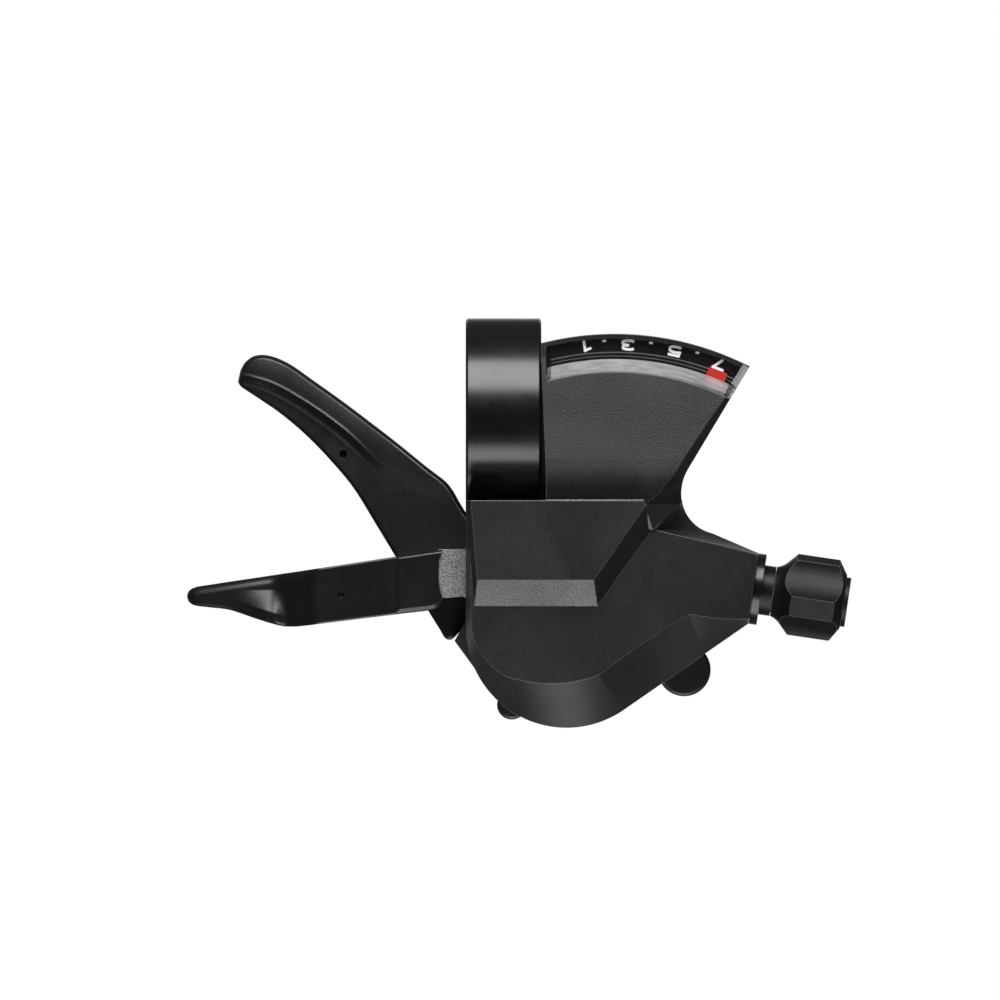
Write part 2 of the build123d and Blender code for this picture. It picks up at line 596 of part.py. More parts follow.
def make_cover_screws():
    """Screws that draw the bottom cover up to the top cover."""
    screws = []
    for x, y, _, underside, head, shank in (BOSS_RIGHT, BOSS_LEFT):
        seat = underside + SCREW_HEAD_H
        screw = cyl(head, underside, seat, (x, y)) + cyl(shank, seat, BOSS_TOP_Z - 1.0, (x, y))
        slot = box(x - head * 0.7, x + head * 0.7, y - 0.3, y + 0.3, underside - 1, underside + 0.6)
        cross = box(x - 0.3, x + 0.3, y - head * 0.7, y + head * 0.7, underside - 1, underside + 0.6)
        screws.append(screw - slot - cross)
    return Compound(children=screws)


def make_bracket_screw():
    """Screw that holds the bracket plate to the top cover's post."""
    head = cyl(2.0, BRACKET_Z - 1.4, BRACKET_Z, POST)
    x, y = POST
    slot = box(x - 1.4, x + 1.4, y - 0.3, y + 0.3, BRACKET_Z - 2, BRACKET_Z - 0.7)
    return head + cyl(SCREW_R, BRACKET_Z, 0.8, POST) - slot


def make_display_base():
    """Plate that closes the display from below."""
    return prism(fan_plan(FAN_WALL + FIT, POD_BACK_Y + FIT), FAN_BOTTOM_Z, FAN_BOTTOM_Z + DISPLAY_BASE_T)


def make_dial_plate():
    """Curved strip under the lens that carries the gear numbers."""
    z = FAN_BOTTOM_Z + DISPLAY_BASE_T
    return fan_band(DIAL_R, FAN_WALL + FIT, z, z + DIAL_T)


def make_display_lens():
    """Clear window over the display's rim, with a broad bevel along its inner edge and one at its end."""
    top, low = LENS_Z + LENS_T, LENS_Z + LENS_LIP
    lens = lens_room(WINDOW_R, FIT, FAN_LEFT + LENS_LEFT, top)
    lens -= Pos(*DIAL, (low + top) / 2) * Cone(WINDOW_R, WINDOW_R + LENS_BEVEL, top - low)
    rake = fan_rake()
    end = Plane(origin=(*FAN_RIGHT_TOP, low), x_dir=(rake.Y, -rake.X, 0), z_dir=(rake.X, rake.Y, 0))
    wedge = outline((0, 0), (1, 0), (1, top - low + 1), (-LENS_END, top - low + 1), (-LENS_END, top - low))
    return lens - extrude(end * wedge, FAR, both=True)


def make_needle_pin():
    """Headed pin the needle turns on."""
    head = cyl(1.4, NEEDLE_ROOT_Z - 0.6, NEEDLE_ROOT_Z - FIT, DIAL)
    return head + cyl(NEEDLE_PIN_R, NEEDLE_ROOT_Z - FIT, CEILING_Z + 0.3, DIAL)


def make_indicator_needle():
    """Needle: a slotted crank arm at the pivot, a post, and an upper arm with the pointer block."""
    root = (NEEDLE_ROOT_Z, NEEDLE_ROOT_Z + NEEDLE_ROOT_T)
    rest = DIAL_BEARING + 180 - DISPLAY_SWEEP / 2
    slot_w = CRANK_R + 0.22
    near, far = DIAL_OFFSET + 0.6, DIAL_OFFSET + CRANK_OFFSET + CRANK_R + 0.3
    arm = prism(strip(DIAL, polar(DIAL, far + 0.9, rest), 2 * slot_w + 1.8), *root)
    arm += cyl(2.2, *root, DIAL)
    post = dial_point(NEEDLE_POST_R, NEEDLE_POST_DEG)
    arm += prism(strip(DIAL, post, 2.4), *root)
    arm += cyl(1.2, NEEDLE_ROOT_Z, NEEDLE_Z + NEEDLE_T, post)
    tip = dial_point(NEEDLE_TIP_R, GEAR_7_DEG)
    heel = dial_point(NEEDLE_TIP_R - NEEDLE_TIP_L, GEAR_7_DEG)
    arm += prism(strip(post, heel, NEEDLE_ARM_W), NEEDLE_Z, NEEDLE_Z + NEEDLE_T)
    arm += prism(strip(heel, tip, NEEDLE_TIP_W), NEEDLE_Z, NEEDLE_Z + NEEDLE_T + 0.25)
    slot = strip(polar(DIAL, near, rest), polar(DIAL, far, rest), 2 * slot_w)
    arm -= prism(slot, root[0] - 1, root[1] + 1)
    return arm - cyl(NEEDLE_PIN_R + RUN / 2, root[0] - 1, root[1] + 1, DIAL)


def make_main_axle():
    """Axle with the collar that rests on the bracket plate."""
    shank = cyl(AXLE_R, NUT_Z - 0.6, AXLE_TOP_Z, AXLE)
    return shank + cyl(AXLE_R + 1.5, BRACKET_TOP_Z, RATCHET_Z - FIT, AXLE)


def make_lever_washer():
    """Washer between the bracket plate and the thumb lever's plate."""
    return tube(WASHER_R + 0.9, AXLE_R + FIT, BRACKET_Z - THUMB_WASHER_T - FIT, BRACKET_Z - FIT, AXLE)


def make_axle_washer():
    """Washer under the axle nut."""
    return tube(WASHER_R - 0.2, AXLE_R + FIT, NUT_TOP_Z + FIT, NUT_TOP_Z + FIT + WASHER_T, AXLE)


def make_axle_nut():
    """Nut at the foot of the axle."""
    nut = prism(Pos(*AXLE) * RegularPolygon(NUT_AF / 2, 6, major_radius=False), NUT_Z, NUT_TOP_Z)
    return nut - cyl(AXLE_R + FIT / 2, NUT_Z - 1, NUT_TOP_Z + 1, AXLE)


def make_cable_drum():
    """Cable drum: grooved rim, nipple pocket, long hub and the crank that drives the needle."""
    top = DRUM_Z + DRUM_T
    drum = cyl(DRUM_PITCH_R + DRUM_LIP, DRUM_Z, top, AXLE) + cyl(HUB_R, HUB_Z, DRUM_Z, AXLE)
    groove = tube(2 * POD_R, DRUM_PITCH_R - CABLE_R, CABLE_Z - CABLE_R - RUN, CABLE_Z + CABLE_R + RUN, AXLE)
    drum -= groove
    drum -= tube(8.0, HUB_R, DRUM_Z - 0.1, DRUM_Z + 2.2, AXLE)
    pocket = polar(AXLE, DRUM_PITCH_R - 1.2, 150)
    drum -= cyl(NIPPLE_R, CABLE_Z - CABLE_R - RUN, top + 1, pocket)
    drum -= cyl(AXLE_R + RUN / 2, HUB_Z - 1, AXLE_TOP_Z + FIT, AXLE)
    for angle in (90, 210, 330):
        drum -= cyl(RIVET_R + FIT / 2, HUB_Z - 1, DRUM_Z, polar(AXLE, 3.55, angle))
    crank = polar(AXLE, CRANK_OFFSET, DIAL_BEARING + 180 - DRUM_SWEEP / 2)
    return drum + cyl(CRANK_R, top, top + CRANK_H, crank)


def ratchet_tooth(angle):
    """Saw tooth with its steep face at an angle and its back falling anticlockwise."""
    return outline(
        polar(AXLE, RATCHET_ROOT_R - 0.6, angle), polar(AXLE, RATCHET_TIP_R, angle),
        polar(AXLE, RATCHET_TIP_R, angle + 0.15 * CLICK_DEG),
        polar(AXLE, RATCHET_ROOT_R - 0.6, angle + 0.7 * CLICK_DEG))


def make_ratchet_plate():
    """Steel plate with one row of teeth for the holding pawl and one for the drive pawl."""
    plan = Pos(*AXLE) * Circle(RATCHET_ROOT_R)
    for step in range(CLICKS + 1):
        plan += ratchet_tooth(HOLD_DEG - step * CLICK_DEG)
    for step in range(CLICKS):
        plan += ratchet_tooth(DRIVE_DEG - step * CLICK_DEG)
    plate = prism(plan, RATCHET_Z, HUB_Z) - cyl(AXLE_R + RUN / 2, RATCHET_Z - 1, HUB_Z + 1, AXLE)
    for angle in (90, 210, 330):
        plate -= cyl(RIVET_R + FIT / 2, RATCHET_Z - 1, HUB_Z + 1, polar(AXLE, 3.55, angle))
    return plate


def make_drum_rivets():
    """Rivets that hold the ratchet plate to the drum's hub."""
    spots = [polar(AXLE, 3.55, angle) for angle in (90, 210, 330)]
    return Compound(children=[cyl(RIVET_R, RATCHET_Z, DRUM_Z - FIT, spot) for spot in spots])


def make_drum_spring():
    """Coil in the drum's recess that pays the cable out."""
    return coil(HUB_R + WIRE / 2 + RUN, DRUM_Z + RUN, DRUM_Z + 2.2 - RUN, 2.5, WIRE, AXLE)


def pawl(pivot, nose, lift):
    """Pawl seated against a tooth at an angle, then turned back off the teeth by its lift."""
    tip, back = Vector(*polar(AXLE, RATCHET_TIP_R + 1.4, nose - 0.8)), Vector(*pivot)
    run = (back - tip).normalized() * PAWL_EYE_R
    side = Vector(-run.Y, run.X)
    inward = side if (back + side - Vector(*AXLE)).length < (back - side - Vector(*AXLE)).length else -side
    heel_in, heel_out = back + inward, back - inward
    plan = outline(
        polar(AXLE, RATCHET_ROOT_R + 0.3, nose - 1.2), (tip.X, tip.Y), (heel_out.X, heel_out.Y),
        (heel_in.X, heel_in.Y), polar(AXLE, RATCHET_TIP_R + 0.7, nose - 13),
        polar(AXLE, RATCHET_ROOT_R + 0.3, nose - 4.6))
    plan += Pos(*pivot) * Circle(PAWL_EYE_R)
    body = prism(plan, PAWL_Z, PAWL_Z + PAWL_T)
    body -= cyl(PAWL_PIN_R + FIT, PAWL_Z - 1, PAWL_Z + PAWL_T + 1, pivot)
    return turned(body, pivot, -lift)


def make_holding_pawl():
    """Pawl that holds the drum at each gear."""
    return pawl(HOLD_PIVOT, HOLD_DEG, HOLD_LIFT_DEG)


def make_holding_pawl_pin():
    """Headed pin in the bracket plate for the holding pawl."""
    top = PAWL_Z + PAWL_T
    pin = cyl(PAWL_PIN_R, BRACKET_Z, top + 1.8, HOLD_PIVOT) + cyl(1.9, top + 1.8, top + 2.4, HOLD_PIVOT)
    return pin + tube(1.7, PAWL_PIN_R - 0.1, BRACKET_TOP_Z, PAWL_Z - FIT, HOLD_PIVOT)


def make_holding_pawl_spring():
    """Coil over the holding pawl."""
    top = PAWL_Z + PAWL_T
    return coil(PAWL_PIN_R + 0.1 + 0.2, top + FIT, top + 1.8 - FIT, 2.5, 0.4, HOLD_PIVOT)


def make_drive_pawl():
    """Pawl on the thumb lever that winds the drum."""
    return pawl(DRIVE_PIVOT, DRIVE_DEG, DRIVE_LIFT_DEG)


def make_drive_pawl_pin():
    """Shouldered pin on the thumb lever's plate for the drive pawl."""
    pin = cyl(PAWL_PIN_R, THUMB_Z, PAWL_Z + PAWL_T + RUN, DRIVE_PIVOT)
    return pin + cyl(PAWL_SHOULDER_R, THUMB_TOP_Z, PAWL_Z - FIT, DRIVE_PIVOT)


def make_drive_pawl_spring():
    """Coil around the shoulder of the drive pawl's pin."""
    return coil(PAWL_SHOULDER_R + 0.3, THUMB_TOP_Z + FIT, PAWL_Z - RUN, 3, 0.4, DRIVE_PIVOT)


def thumb_tongue(grow=0.0):
    """Plan of the thumb lever's steel tongue inside its moulding."""
    return outline((-8.0 + grow, -13.4 + grow), (-14.6 - grow, -17.4 + grow), (-9.6 - grow, -27.2 - grow),
                   (4.0, -33.0 - grow), (8.0, -26.0), (4.0, -22.5 + grow))


def thumb_top(reach):
    """Level of the thumb lever's upper face: flat at the root, falling, then level at the tip."""
    share = max(0.0, (reach - THUMB_RAMP[0]) / (THUMB_RAMP[1] - THUMB_RAMP[0]))
    return THUMB_TOP_Z + THUMB_SKIN - THUMB_DROP * (1 - (1 - share) ** 2)


def thumb_layer(above, below):
    """Room between the lever's upper face raised by one function of the reach and lowered by another."""
    ray = Vector(cos(radians(THUMB_DEG)), sin(radians(THUMB_DEG)), 0)
    side = Plane(origin=(*AXLE, 0), x_dir=ray, z_dir=(ray.Y, -ray.X, 0))
    root, tip = THUMB_RAMP
    spots = [root + (tip - root) * i / 10 for i in range(11)]
    upper = [(r, thumb_top(r) + above(r)) for r in spots]
    lower = [(r, thumb_top(r) - below(r)) for r in spots]
    back_top, back_low = (-12, upper[0][1]), (-12, lower[0][1])
    face = make_face([
        Line(back_top, upper[0]), Spline(upper), Line(upper[-1], lower[-1]),
        Spline(lower[::-1]), Line(lower[0], back_low), Line(back_low, back_top),
    ])
    return extrude(side * face, FAR, both=True)


def rise_between(limits, value):
    """Smooth step from 0 to 1 between two limits."""
    share = min(1.0, max(0.0, (value - limits[0]) / (limits[1] - limits[0])))
    return share * share * (3 - 2 * share)


def thumb_core(grow=0.0):
    """Layer of the steel plate inside the moulded lever."""
    return thumb_layer(lambda r: grow - THUMB_SKIN, lambda r: THUMB_SKIN + THUMB_PLATE_T + grow)


def make_thumb_lever_plate():
    """Steel plate that carries the thumb lever on the axle, its tongue bent down inside the moulding."""
    plan = Pos(*AXLE) * Circle(6.5) + thumb_tongue() + Pos(*DRIVE_PIVOT) * Circle(PAWL_EYE_R + 0.8)
    plate = prism(plan, THUMB_Z - THUMB_DROP, THUMB_TOP_Z) & thumb_core()
    plate -= cyl(AXLE_R + RUN / 2, THUMB_Z - 1, THUMB_TOP_Z + 1, AXLE)
    return plate - cyl(PAWL_PIN_R + FIT, THUMB_Z - 1, THUMB_TOP_Z + 1, DRIVE_PIVOT)


def make_thumb_lever_spring():
    """Coil that returns the thumb lever."""
    return coil(5.0 + 0.35, NUT_Z + FIT, THUMB_Z - RUN, 3, 0.6, AXLE)


def thumb_plan():
    """Plan of the moulded thumb lever, from its lug at the pod to the rounded tip."""
    return make_face([
        Line((-5.6, -13.3), (-7.6, -9.9)),
        ThreePointArc((-7.6, -9.9), (-8.4, -9.1), (-9.4, -8.4)),
        ThreePointArc((-9.4, -8.4), (-21.0, 0.75), (-31.4, 8.15)),
        ThreePointArc((-31.4, 8.15), (-35.1, 8.9), (-37.6, 6.6)),
        Line((-37.6, 6.6), (-38.0, 5.0)),
        ThreePointArc((-38.0, 5.0), (-37.6, 4.4), (-36.6, 3.7)),
        ThreePointArc((-36.6, 3.7), (-28.2, -2.6), (-21.5, -10.0)),
        Line((-21.5, -10.0), (-8.6, -31.2)),
        ThreePointArc((-8.6, -31.2), (-8.0, -31.9), (-7.2, -31.6)),
        Line((-7.2, -31.6), (-4.4, -28.0)),
        Line((-4.4, -28.0), (-4.4, -15.0)),
        Line((-4.4, -15.0), (-5.6, -13.3)),
    ])


def thumb_band():
    """Plan of the rolled thumb edge, between the lever's rider side and the crease on its top."""
    return make_face([
        ThreePointArc((-14.0, -6.0), (-21.0, 0.0), (-32.0, 10.5)),
        Line((-32.0, 10.5), (-40.0, 10.5)),
        Line((-40.0, 10.5), (-38.6, 6.2)),
        Spline([(-38.6, 6.2), (-32.4, 4.5), (-27.3, 1.5), (-22.2, -2.3), (-17.2, -7.2)]),
        Line((-17.2, -7.2), (-12.0, -12.0)),
        Line((-12.0, -12.0), (-6.0, -12.0)),
        Line((-6.0, -12.0), (-14.0, -6.0)),
    ])


def thumb_groove():
    """Plan of the fine groove below the ridge, tapering to nothing at both ends."""
    ridge = [(-37.4, 5.9), (-32.4, 4.5), (-27.3, 1.5), (-22.2, -2.3), (-17.2, -7.2)]
    below = [(-37.4, 5.9), (-32.7, 3.7), (-27.7, 0.8), (-22.6, -2.9), (-17.2, -7.2)]
    return make_face([Spline(ridge), Spline(below[::-1])])


def make_thumb_lever():
    """Moulded thumb lever: a flat web, a rolled thumb edge with a ridge and groove, and a blind hole."""
    thick = THUMB_PLATE_T + 2 * THUMB_SKIN
    web = prism(thumb_plan(), -FAR, FAR) & thumb_layer(lambda r: 0, lambda r: thick)
    bead = thumb_layer(
        lambda r: THUMB_BEAD * rise_between(THUMB_RIDGE, r),
        lambda r: thick + THUMB_FLANGE_H * rise_between(THUMB_FLANGE, r))
    lever = web + (prism(thumb_plan() & thumb_band(), -FAR, FAR) & bead)
    groove_layer = thumb_layer(lambda r: THUMB_BEAD / 2, lambda r: THUMB_GROOVE)
    lever -= prism(thumb_groove(), -FAR, FAR) & groove_layer
    lever -= cyl(POD_R - 0.6, THUMB_Z - 5, THUMB_TOP_Z + 5, AXLE)
    lever -= prism(thumb_tongue(FIT), THUMB_Z - THUMB_DROP, THUMB_TOP_Z + FIT) & thumb_core(FIT)
    x, y, radius, depth = THUMB_HOLE
    return lever - (cyl(radius, -FAR, FAR, (x, y)) & thumb_layer(lambda r: 1, lambda r: depth))


def release_tongue(grow=0.0):
    """Plan of the part of the release core that sits inside the cap."""
    left = -17.0 - grow
    return outline((-8.0, -20.2 + grow), (left, -21.6 + grow), (left, -26.0 - grow), (-8.0, -25.2 - grow))


def make_release_lever_core():
    """Cast core of the release lever: a ring about the drum's hub, an arm and the bare root."""
    plan = Pos(*AXLE) * Circle(RELEASE_RING_R)
    plan += outline((6.0, -23.4), (-5.0, -18.9), (-6.2, -18.9), (-6.2, -25.6), (-3.0, -26.4), (3.4, -32.4))
    plan += outline(polar(AXLE, 5.0, 56), polar(AXLE, 9.4, 60), polar(AXLE, 9.4, 72), polar(AXLE, 5.0, 80))
    core = prism(plan, RELEASE_Z, RELEASE_Z + RELEASE_T)
    root = outline((-5.0, -18.9), (RELEASE_ROOT_X, -18.9), (RELEASE_ROOT_X, -25.9), (-5.0, -25.6))
    core += prism(root, *RELEASE_ROOT_LEVELS)
    core += prism(release_tongue(), RELEASE_Z, RELEASE_Z + RELEASE_T)
    return core - cyl(HUB_R + RUN, RELEASE_Z - 1, RELEASE_Z + RELEASE_T + 1, AXLE)


def release_plan():
    """Plan of the release lever's cap, with a hollow end against the bare root."""
    return make_face([
        Line((-8.7, -18.9), (-44.4, -24.3)),
        ThreePointArc((-44.4, -24.3), (-45.3, -25.5), (-44.5, -26.9)),
        Line((-44.5, -26.9), (-39.0, -27.6)),
        Spline([(-39.0, -27.6), (-35.1, -28.9), (-32.0, -29.8), (-29.5, -29.95)]),
        Line((-29.5, -29.95), (-10.4, -27.6)),
        ThreePointArc((-10.4, -27.6), (-9.0, -27.2), (-8.3, -26.4)),
        ThreePointArc((-8.3, -26.4), (-9.4, -22.6), (-8.7, -18.9)),
    ])


def make_release_lever_cap():
    """Moulded cap of the release lever, with a dished finger pad at its end."""
    top, pad = RELEASE_CAP_TOP, RELEASE_CAP_TOP - RELEASE_PAD_DROP
    edges = [
        Line((0, top), (-26.5, top)),
        ThreePointArc((-26.5, top), (-29.4, top - RELEASE_PAD_DROP * 0.6), (-33.5, pad)),
        ThreePointArc((-33.5, pad), (-40.0, pad - 0.7), (-50.0, pad - 2.4)),
        Line((-50.0, pad - 2.4), (-50.0, RELEASE_PAD_Z + 1.2)),
        Line((-50.0, RELEASE_PAD_Z + 1.2), (-38.0, RELEASE_PAD_Z)),
        Line((-38.0, RELEASE_PAD_Z), (-30.0, RELEASE_PAD_Z)),
        Line((-30.0, RELEASE_PAD_Z), (-21.0, RELEASE_Z - 2.4)),
        Line((-21.0, RELEASE_Z - 2.4), (0, RELEASE_Z - 2.4)),
        Line((0, RELEASE_Z - 2.4), (0, top)),
    ]
    side = extrude(Plane.XZ * make_face(edges), FAR, both=True)
    cap = prism(release_plan(), -FAR, FAR) & side
    cap += prism(release_plan() & outline(
        (RELEASE_STEP_X, -FAR), (0, -FAR), (0, 0), (RELEASE_STEP_X, 0)), top - 1, top + RELEASE_STEP)
    lie = Vector(1.0, 0.06, 0.0).normalized()
    bed = Plane(origin=(-36.5, -26.6, pad + RELEASE_DISH_R - 1.1), z_dir=(lie.X, lie.Y, -0.05))
    cap -= bed * Cylinder(RELEASE_DISH_R, 13)
    x, y, radius, depth = RELEASE_DIMPLE
    cap -= cyl(radius, top - depth, top + 1, (x, y))
    core_end = outline((-5.0, -18.9), (RELEASE_ROOT_X, -18.9), (RELEASE_ROOT_X, -25.9), (-5.0, -25.6))
    low, high = RELEASE_ROOT_LEVELS
    cap -= prism(offset(core_end, amount=FIT), low - FIT, high + FIT)
    return cap - prism(release_tongue(FIT), RELEASE_Z - FIT, RELEASE_Z + RELEASE_T + FIT)


def make_release_washer():
    """Washer between the release lever and the drum."""
    return tube(7.6, HUB_R + FIT, RELEASE_Z + RELEASE_T + FIT, DRUM_Z - FIT, AXLE)


def make_outlet_bush():
    """Threaded bush in the cover's mouth, with the flange that closes it."""
    bush = outlet_cyl(BUSH_R, -BUSH_L, FLANGE_T) + outlet_cyl(FLANGE_R, FIT / 2, FLANGE_T)
    bush -= outlet_cyl(COLLAR_R + FIT, -SEAT_DEPTH, FLANGE_T + 1)
    return bush - outlet_cyl(THREAD_R + FIT, -BUSH_L - 1, 0)


def make_detent_collar():
    """Sliding collar between the bush and the knob."""
    collar = outlet_cyl(COLLAR_R, -COLLAR_TAIL, KNOB_S - FIT)
    collar += outlet_cyl(COLLAR_R - COLLAR_NOSE, -COLLAR_TAIL, KNOB_S + COLLAR_NOSE)
    return collar - outlet_cyl(THREAD_R + FIT, -COLLAR_TAIL - 1, KNOB_S + 1)


def make_adjuster_spring():
    """Coil behind the collar."""
    spring = coil(THREAD_R + 0.1 + 0.25, 0, SEAT_DEPTH - COLLAR_TAIL - 2 * FIT, 1.5, 0.4, (0, 0))
    return OUTLET_PLANE * Pos(0, 0, -SEAT_DEPTH + FIT) * spring


def make_adjuster_bolt():
    """Hollow threaded bolt that carries the knob."""
    end = KNOB_END - SOCKET_DEPTH - FIT
    return outlet_cyl(THREAD_R, -BUSH_L, end) - outlet_cyl(CABLE_HOLE_R, -BUSH_L - 1, end + 1)


def make_adjuster_knob():
    """Barrel knob: hollow flare, four broad faces with narrow corner flats, and the casing socket."""
    side = Plane(origin=(*OUTLET, CABLE_Z), x_dir=OUTLET_DIR, z_dir=(OUTLET_DIR.Y, -OUTLET_DIR.X, 0))
    a, b = KNOB_S, KNOB_S + KNOB_FLARE
    c, d = b + KNOB_BARREL, b + KNOB_BARREL + KNOB_CHAMFER
    rise = KNOB_R - COLLAR_R
    profile = make_face([
        Line((a, 0), (a, COLLAR_R)),
        ThreePointArc((a, COLLAR_R), (a + 0.8, COLLAR_R + 0.15 * rise), (b - 1.2, KNOB_R - 0.55 * rise)),
        Line((b - 1.2, KNOB_R - 0.55 * rise), (b, KNOB_R)),
        Line((b, KNOB_R), (c, KNOB_R)),
        Line((c, KNOB_R), (d, KNOB_CHAMFER_R)),
        Line((d, KNOB_CHAMFER_R), (d, KNOB_TIP_R)),
        Line((d, KNOB_TIP_R), (KNOB_END, KNOB_TIP_R)),
        Line((KNOB_END, KNOB_TIP_R), (KNOB_END, 0)),
        Line((KNOB_END, 0), (a, 0)),
    ])
    knob = revolve(side * profile, axis=Axis((*OUTLET, CABLE_Z), OUTLET_DIR))
    edges = []
    for i in range(KNOB_SIDES):
        start = KNOB_TURN + i * 360 / KNOB_SIDES
        end = start + KNOB_FACE_DEG
        crown = KNOB_R * cos(radians(KNOB_FACE_DEG / 2)) - KNOB_FACE_HOLLOW
        following = KNOB_TURN + (i + 1) * 360 / KNOB_SIDES
        first, last = polar((0, 0), KNOB_R, start), polar((0, 0), KNOB_R, end)
        edges.append(ThreePointArc(first, polar((0, 0), crown, (start + end) / 2), last))
        edges.append(Line(last, polar((0, 0), KNOB_R, following)))
    knob &= extrude(OUTLET_PLANE * Pos(0, 0, a) * make_face(edges), KNOB_END - a)
    knob -= outlet_cyl(THREAD_R + FIT / 2, a - 1, KNOB_END - SOCKET_DEPTH)
    knob -= outlet_cyl(COLLAR_R - COLLAR_NOSE + FIT, a - 1, a + COLLAR_NOSE + FIT)
    return knob - outlet_cyl(SOCKET_R, KNOB_END - SOCKET_DEPTH, KNOB_END + 1)


def port_cyl(radius, x0, x1):
    """Cylinder along X on the cable's line, where it meets the side wall."""
    y = OUTLET[1] + (SIDE_X - OUTLET[0]) * OUTLET_DIR.Y / OUTLET_DIR.X
    return Pos((x0 + x1) / 2, y, CABLE_Z + 0.3) * Rot(0, 90, 0) * Cylinder(radius, x1 - x0)


def make_cable_port_plug():
    """Plug of the hole the cable is fed through, with a screwdriver slot."""
    plug = port_cyl(PORT_R, SIDE_X + 0.1, SIDE_X + WALL + 0.7)
    plug += port_cyl(PORT_R + 0.4, SIDE_X + WALL + 0.15, SIDE_X + WALL + 0.7)
    y = OUTLET[1] + (SIDE_X - OUTLET[0]) * OUTLET_DIR.Y / OUTLET_DIR.X
    half = PORT_R * 0.8
    return plug - box(SIDE_X - 1, SIDE_X + 0.8, y - half, y + half, CABLE_Z - 0.1, CABLE_Z + 0.7)


def make_release_spring():
    """Coil that returns the release lever, on a spot beside the web."""
    return coil(1.6, BRACKET_Z + WEB_T + FIT, BRACKET_Z + WEB_T + 2.6, 3, 0.5, RELEASE_SPOT)


def make_release_spring_pin():
    """Pin in the web for the release lever's spring."""
    return cyl(1.2, BRACKET_Z + WEB_T, BRACKET_Z + WEB_T + 3.2, RELEASE_SPOT)


PARTS = {
    "clamp_bracket": make_clamp_bracket,
    "clamp_bolt": make_clamp_bolt,
    "clamp_nut": make_clamp_nut,
    "top_cover": make_top_cover,
    "bottom_cover": make_bottom_cover,
    "cover_screws": make_cover_screws,
    "bracket_screw": make_bracket_screw,
    "display_base": make_display_base,
    "dial_plate": make_dial_plate,
    "display_lens": make_display_lens,
    "needle_pin": make_needle_pin,
    "indicator_needle": make_indicator_needle,
    "main_axle": make_main_axle,
    "lever_washer": make_lever_washer,
    "axle_washer": make_axle_washer,
    "axle_nut": make_axle_nut,
    "cable_drum": make_cable_drum,
    "ratchet_plate": make_ratchet_plate,
    "drum_rivets": make_drum_rivets,
    "drum_spring": make_drum_spring,
    "holding_pawl": make_holding_pawl,
    "holding_pawl_pin": make_holding_pawl_pin,
    "holding_pawl_spring": make_holding_pawl_spring,
    "drive_pawl": make_drive_pawl,
    "drive_pawl_pin": make_drive_pawl_pin,
    "drive_pawl_spring": make_drive_pawl_spring,
    "thumb_lever": make_thumb_lever,
    "thumb_lever_plate": make_thumb_lever_plate,
    "thumb_lever_spring": make_thumb_lever_spring,
    "release_lever_cap": make_release_lever_cap,
    "release_lever_core": make_release_lever_core,
    "release_washer": make_release_washer,
    "release_spring": make_release_spring,
    "release_spring_pin": make_release_spring_pin,
    "cable_port_plug": make_cable_port_plug,
    "outlet_bush": make_outlet_bush,
    "detent_collar": make_detent_collar,
    "adjuster_spring": make_adjuster_spring,
    "adjuster_bolt": make_adjuster_bolt,
    "adjuster_knob": make_adjuster_knob,
}

os.makedirs("parts", exist_ok=True)
for name, make in PARTS.items():
    export_step(make(), f"parts/{name}.step")
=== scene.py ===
"""Looks, light and camera of a right-hand trigger gear shifter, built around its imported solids.

Every length is in metres in the solids' frame: the origin is the centre of the handlebar clamp, +X runs
along the bar to the cable outlet, +Y points at the rider and +Z is up through the gear window.
"""

from __future__ import annotations

import json
import logging
import math
from dataclasses import dataclass
from enum import Enum
from typing import Sequence

import bmesh
import bpy
import numpy as np
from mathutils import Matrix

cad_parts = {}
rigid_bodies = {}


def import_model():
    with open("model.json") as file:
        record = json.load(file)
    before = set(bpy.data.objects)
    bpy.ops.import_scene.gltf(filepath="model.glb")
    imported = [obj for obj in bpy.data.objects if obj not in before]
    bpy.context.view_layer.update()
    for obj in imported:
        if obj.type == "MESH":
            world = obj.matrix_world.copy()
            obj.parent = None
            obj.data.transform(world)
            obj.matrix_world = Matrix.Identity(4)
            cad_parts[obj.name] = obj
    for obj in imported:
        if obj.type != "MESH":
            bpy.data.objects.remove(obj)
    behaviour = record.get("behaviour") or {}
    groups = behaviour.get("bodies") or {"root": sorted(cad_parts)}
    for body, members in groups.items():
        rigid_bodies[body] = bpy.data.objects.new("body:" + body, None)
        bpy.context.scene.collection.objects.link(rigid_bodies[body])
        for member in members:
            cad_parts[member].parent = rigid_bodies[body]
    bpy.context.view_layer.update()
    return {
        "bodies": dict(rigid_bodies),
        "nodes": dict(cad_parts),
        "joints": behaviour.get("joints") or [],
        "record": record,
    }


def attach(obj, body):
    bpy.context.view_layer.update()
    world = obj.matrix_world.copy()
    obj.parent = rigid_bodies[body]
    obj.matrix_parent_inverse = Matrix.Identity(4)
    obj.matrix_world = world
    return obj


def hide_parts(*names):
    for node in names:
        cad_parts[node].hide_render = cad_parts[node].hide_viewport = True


LOG = logging.getLogger("shifter")
MM = 0.001
NEEDLE_PIVOT = (15.9 * MM, -30.4 * MM)
WINDOW_CORNER = (34.8 * MM, 6.6 * MM)
WINDOW_RAKE = (0.5145, 0.8575)

Colour = tuple[float, float, float]
Span = tuple[float, float]
Line = Sequence[tuple[float, float]]
Socket = bpy.types.NodeSocket


class Slot(Enum):
    """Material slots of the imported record."""

    BAND = "band"
    COVER = "cover"
    COVER_BASE = "cover_base"
    LEVER = "lever"
    ADJUSTER = "adjuster"
    ZINC = "zinc"
    STEEL = "steel"
    STEEL_DARK = "steel_dark"
    SPRING_STEEL = "spring_steel"
    DRUM = "drum"
    DIAL = "dial"
    LENS = "lens"
    POINTER = "pointer"


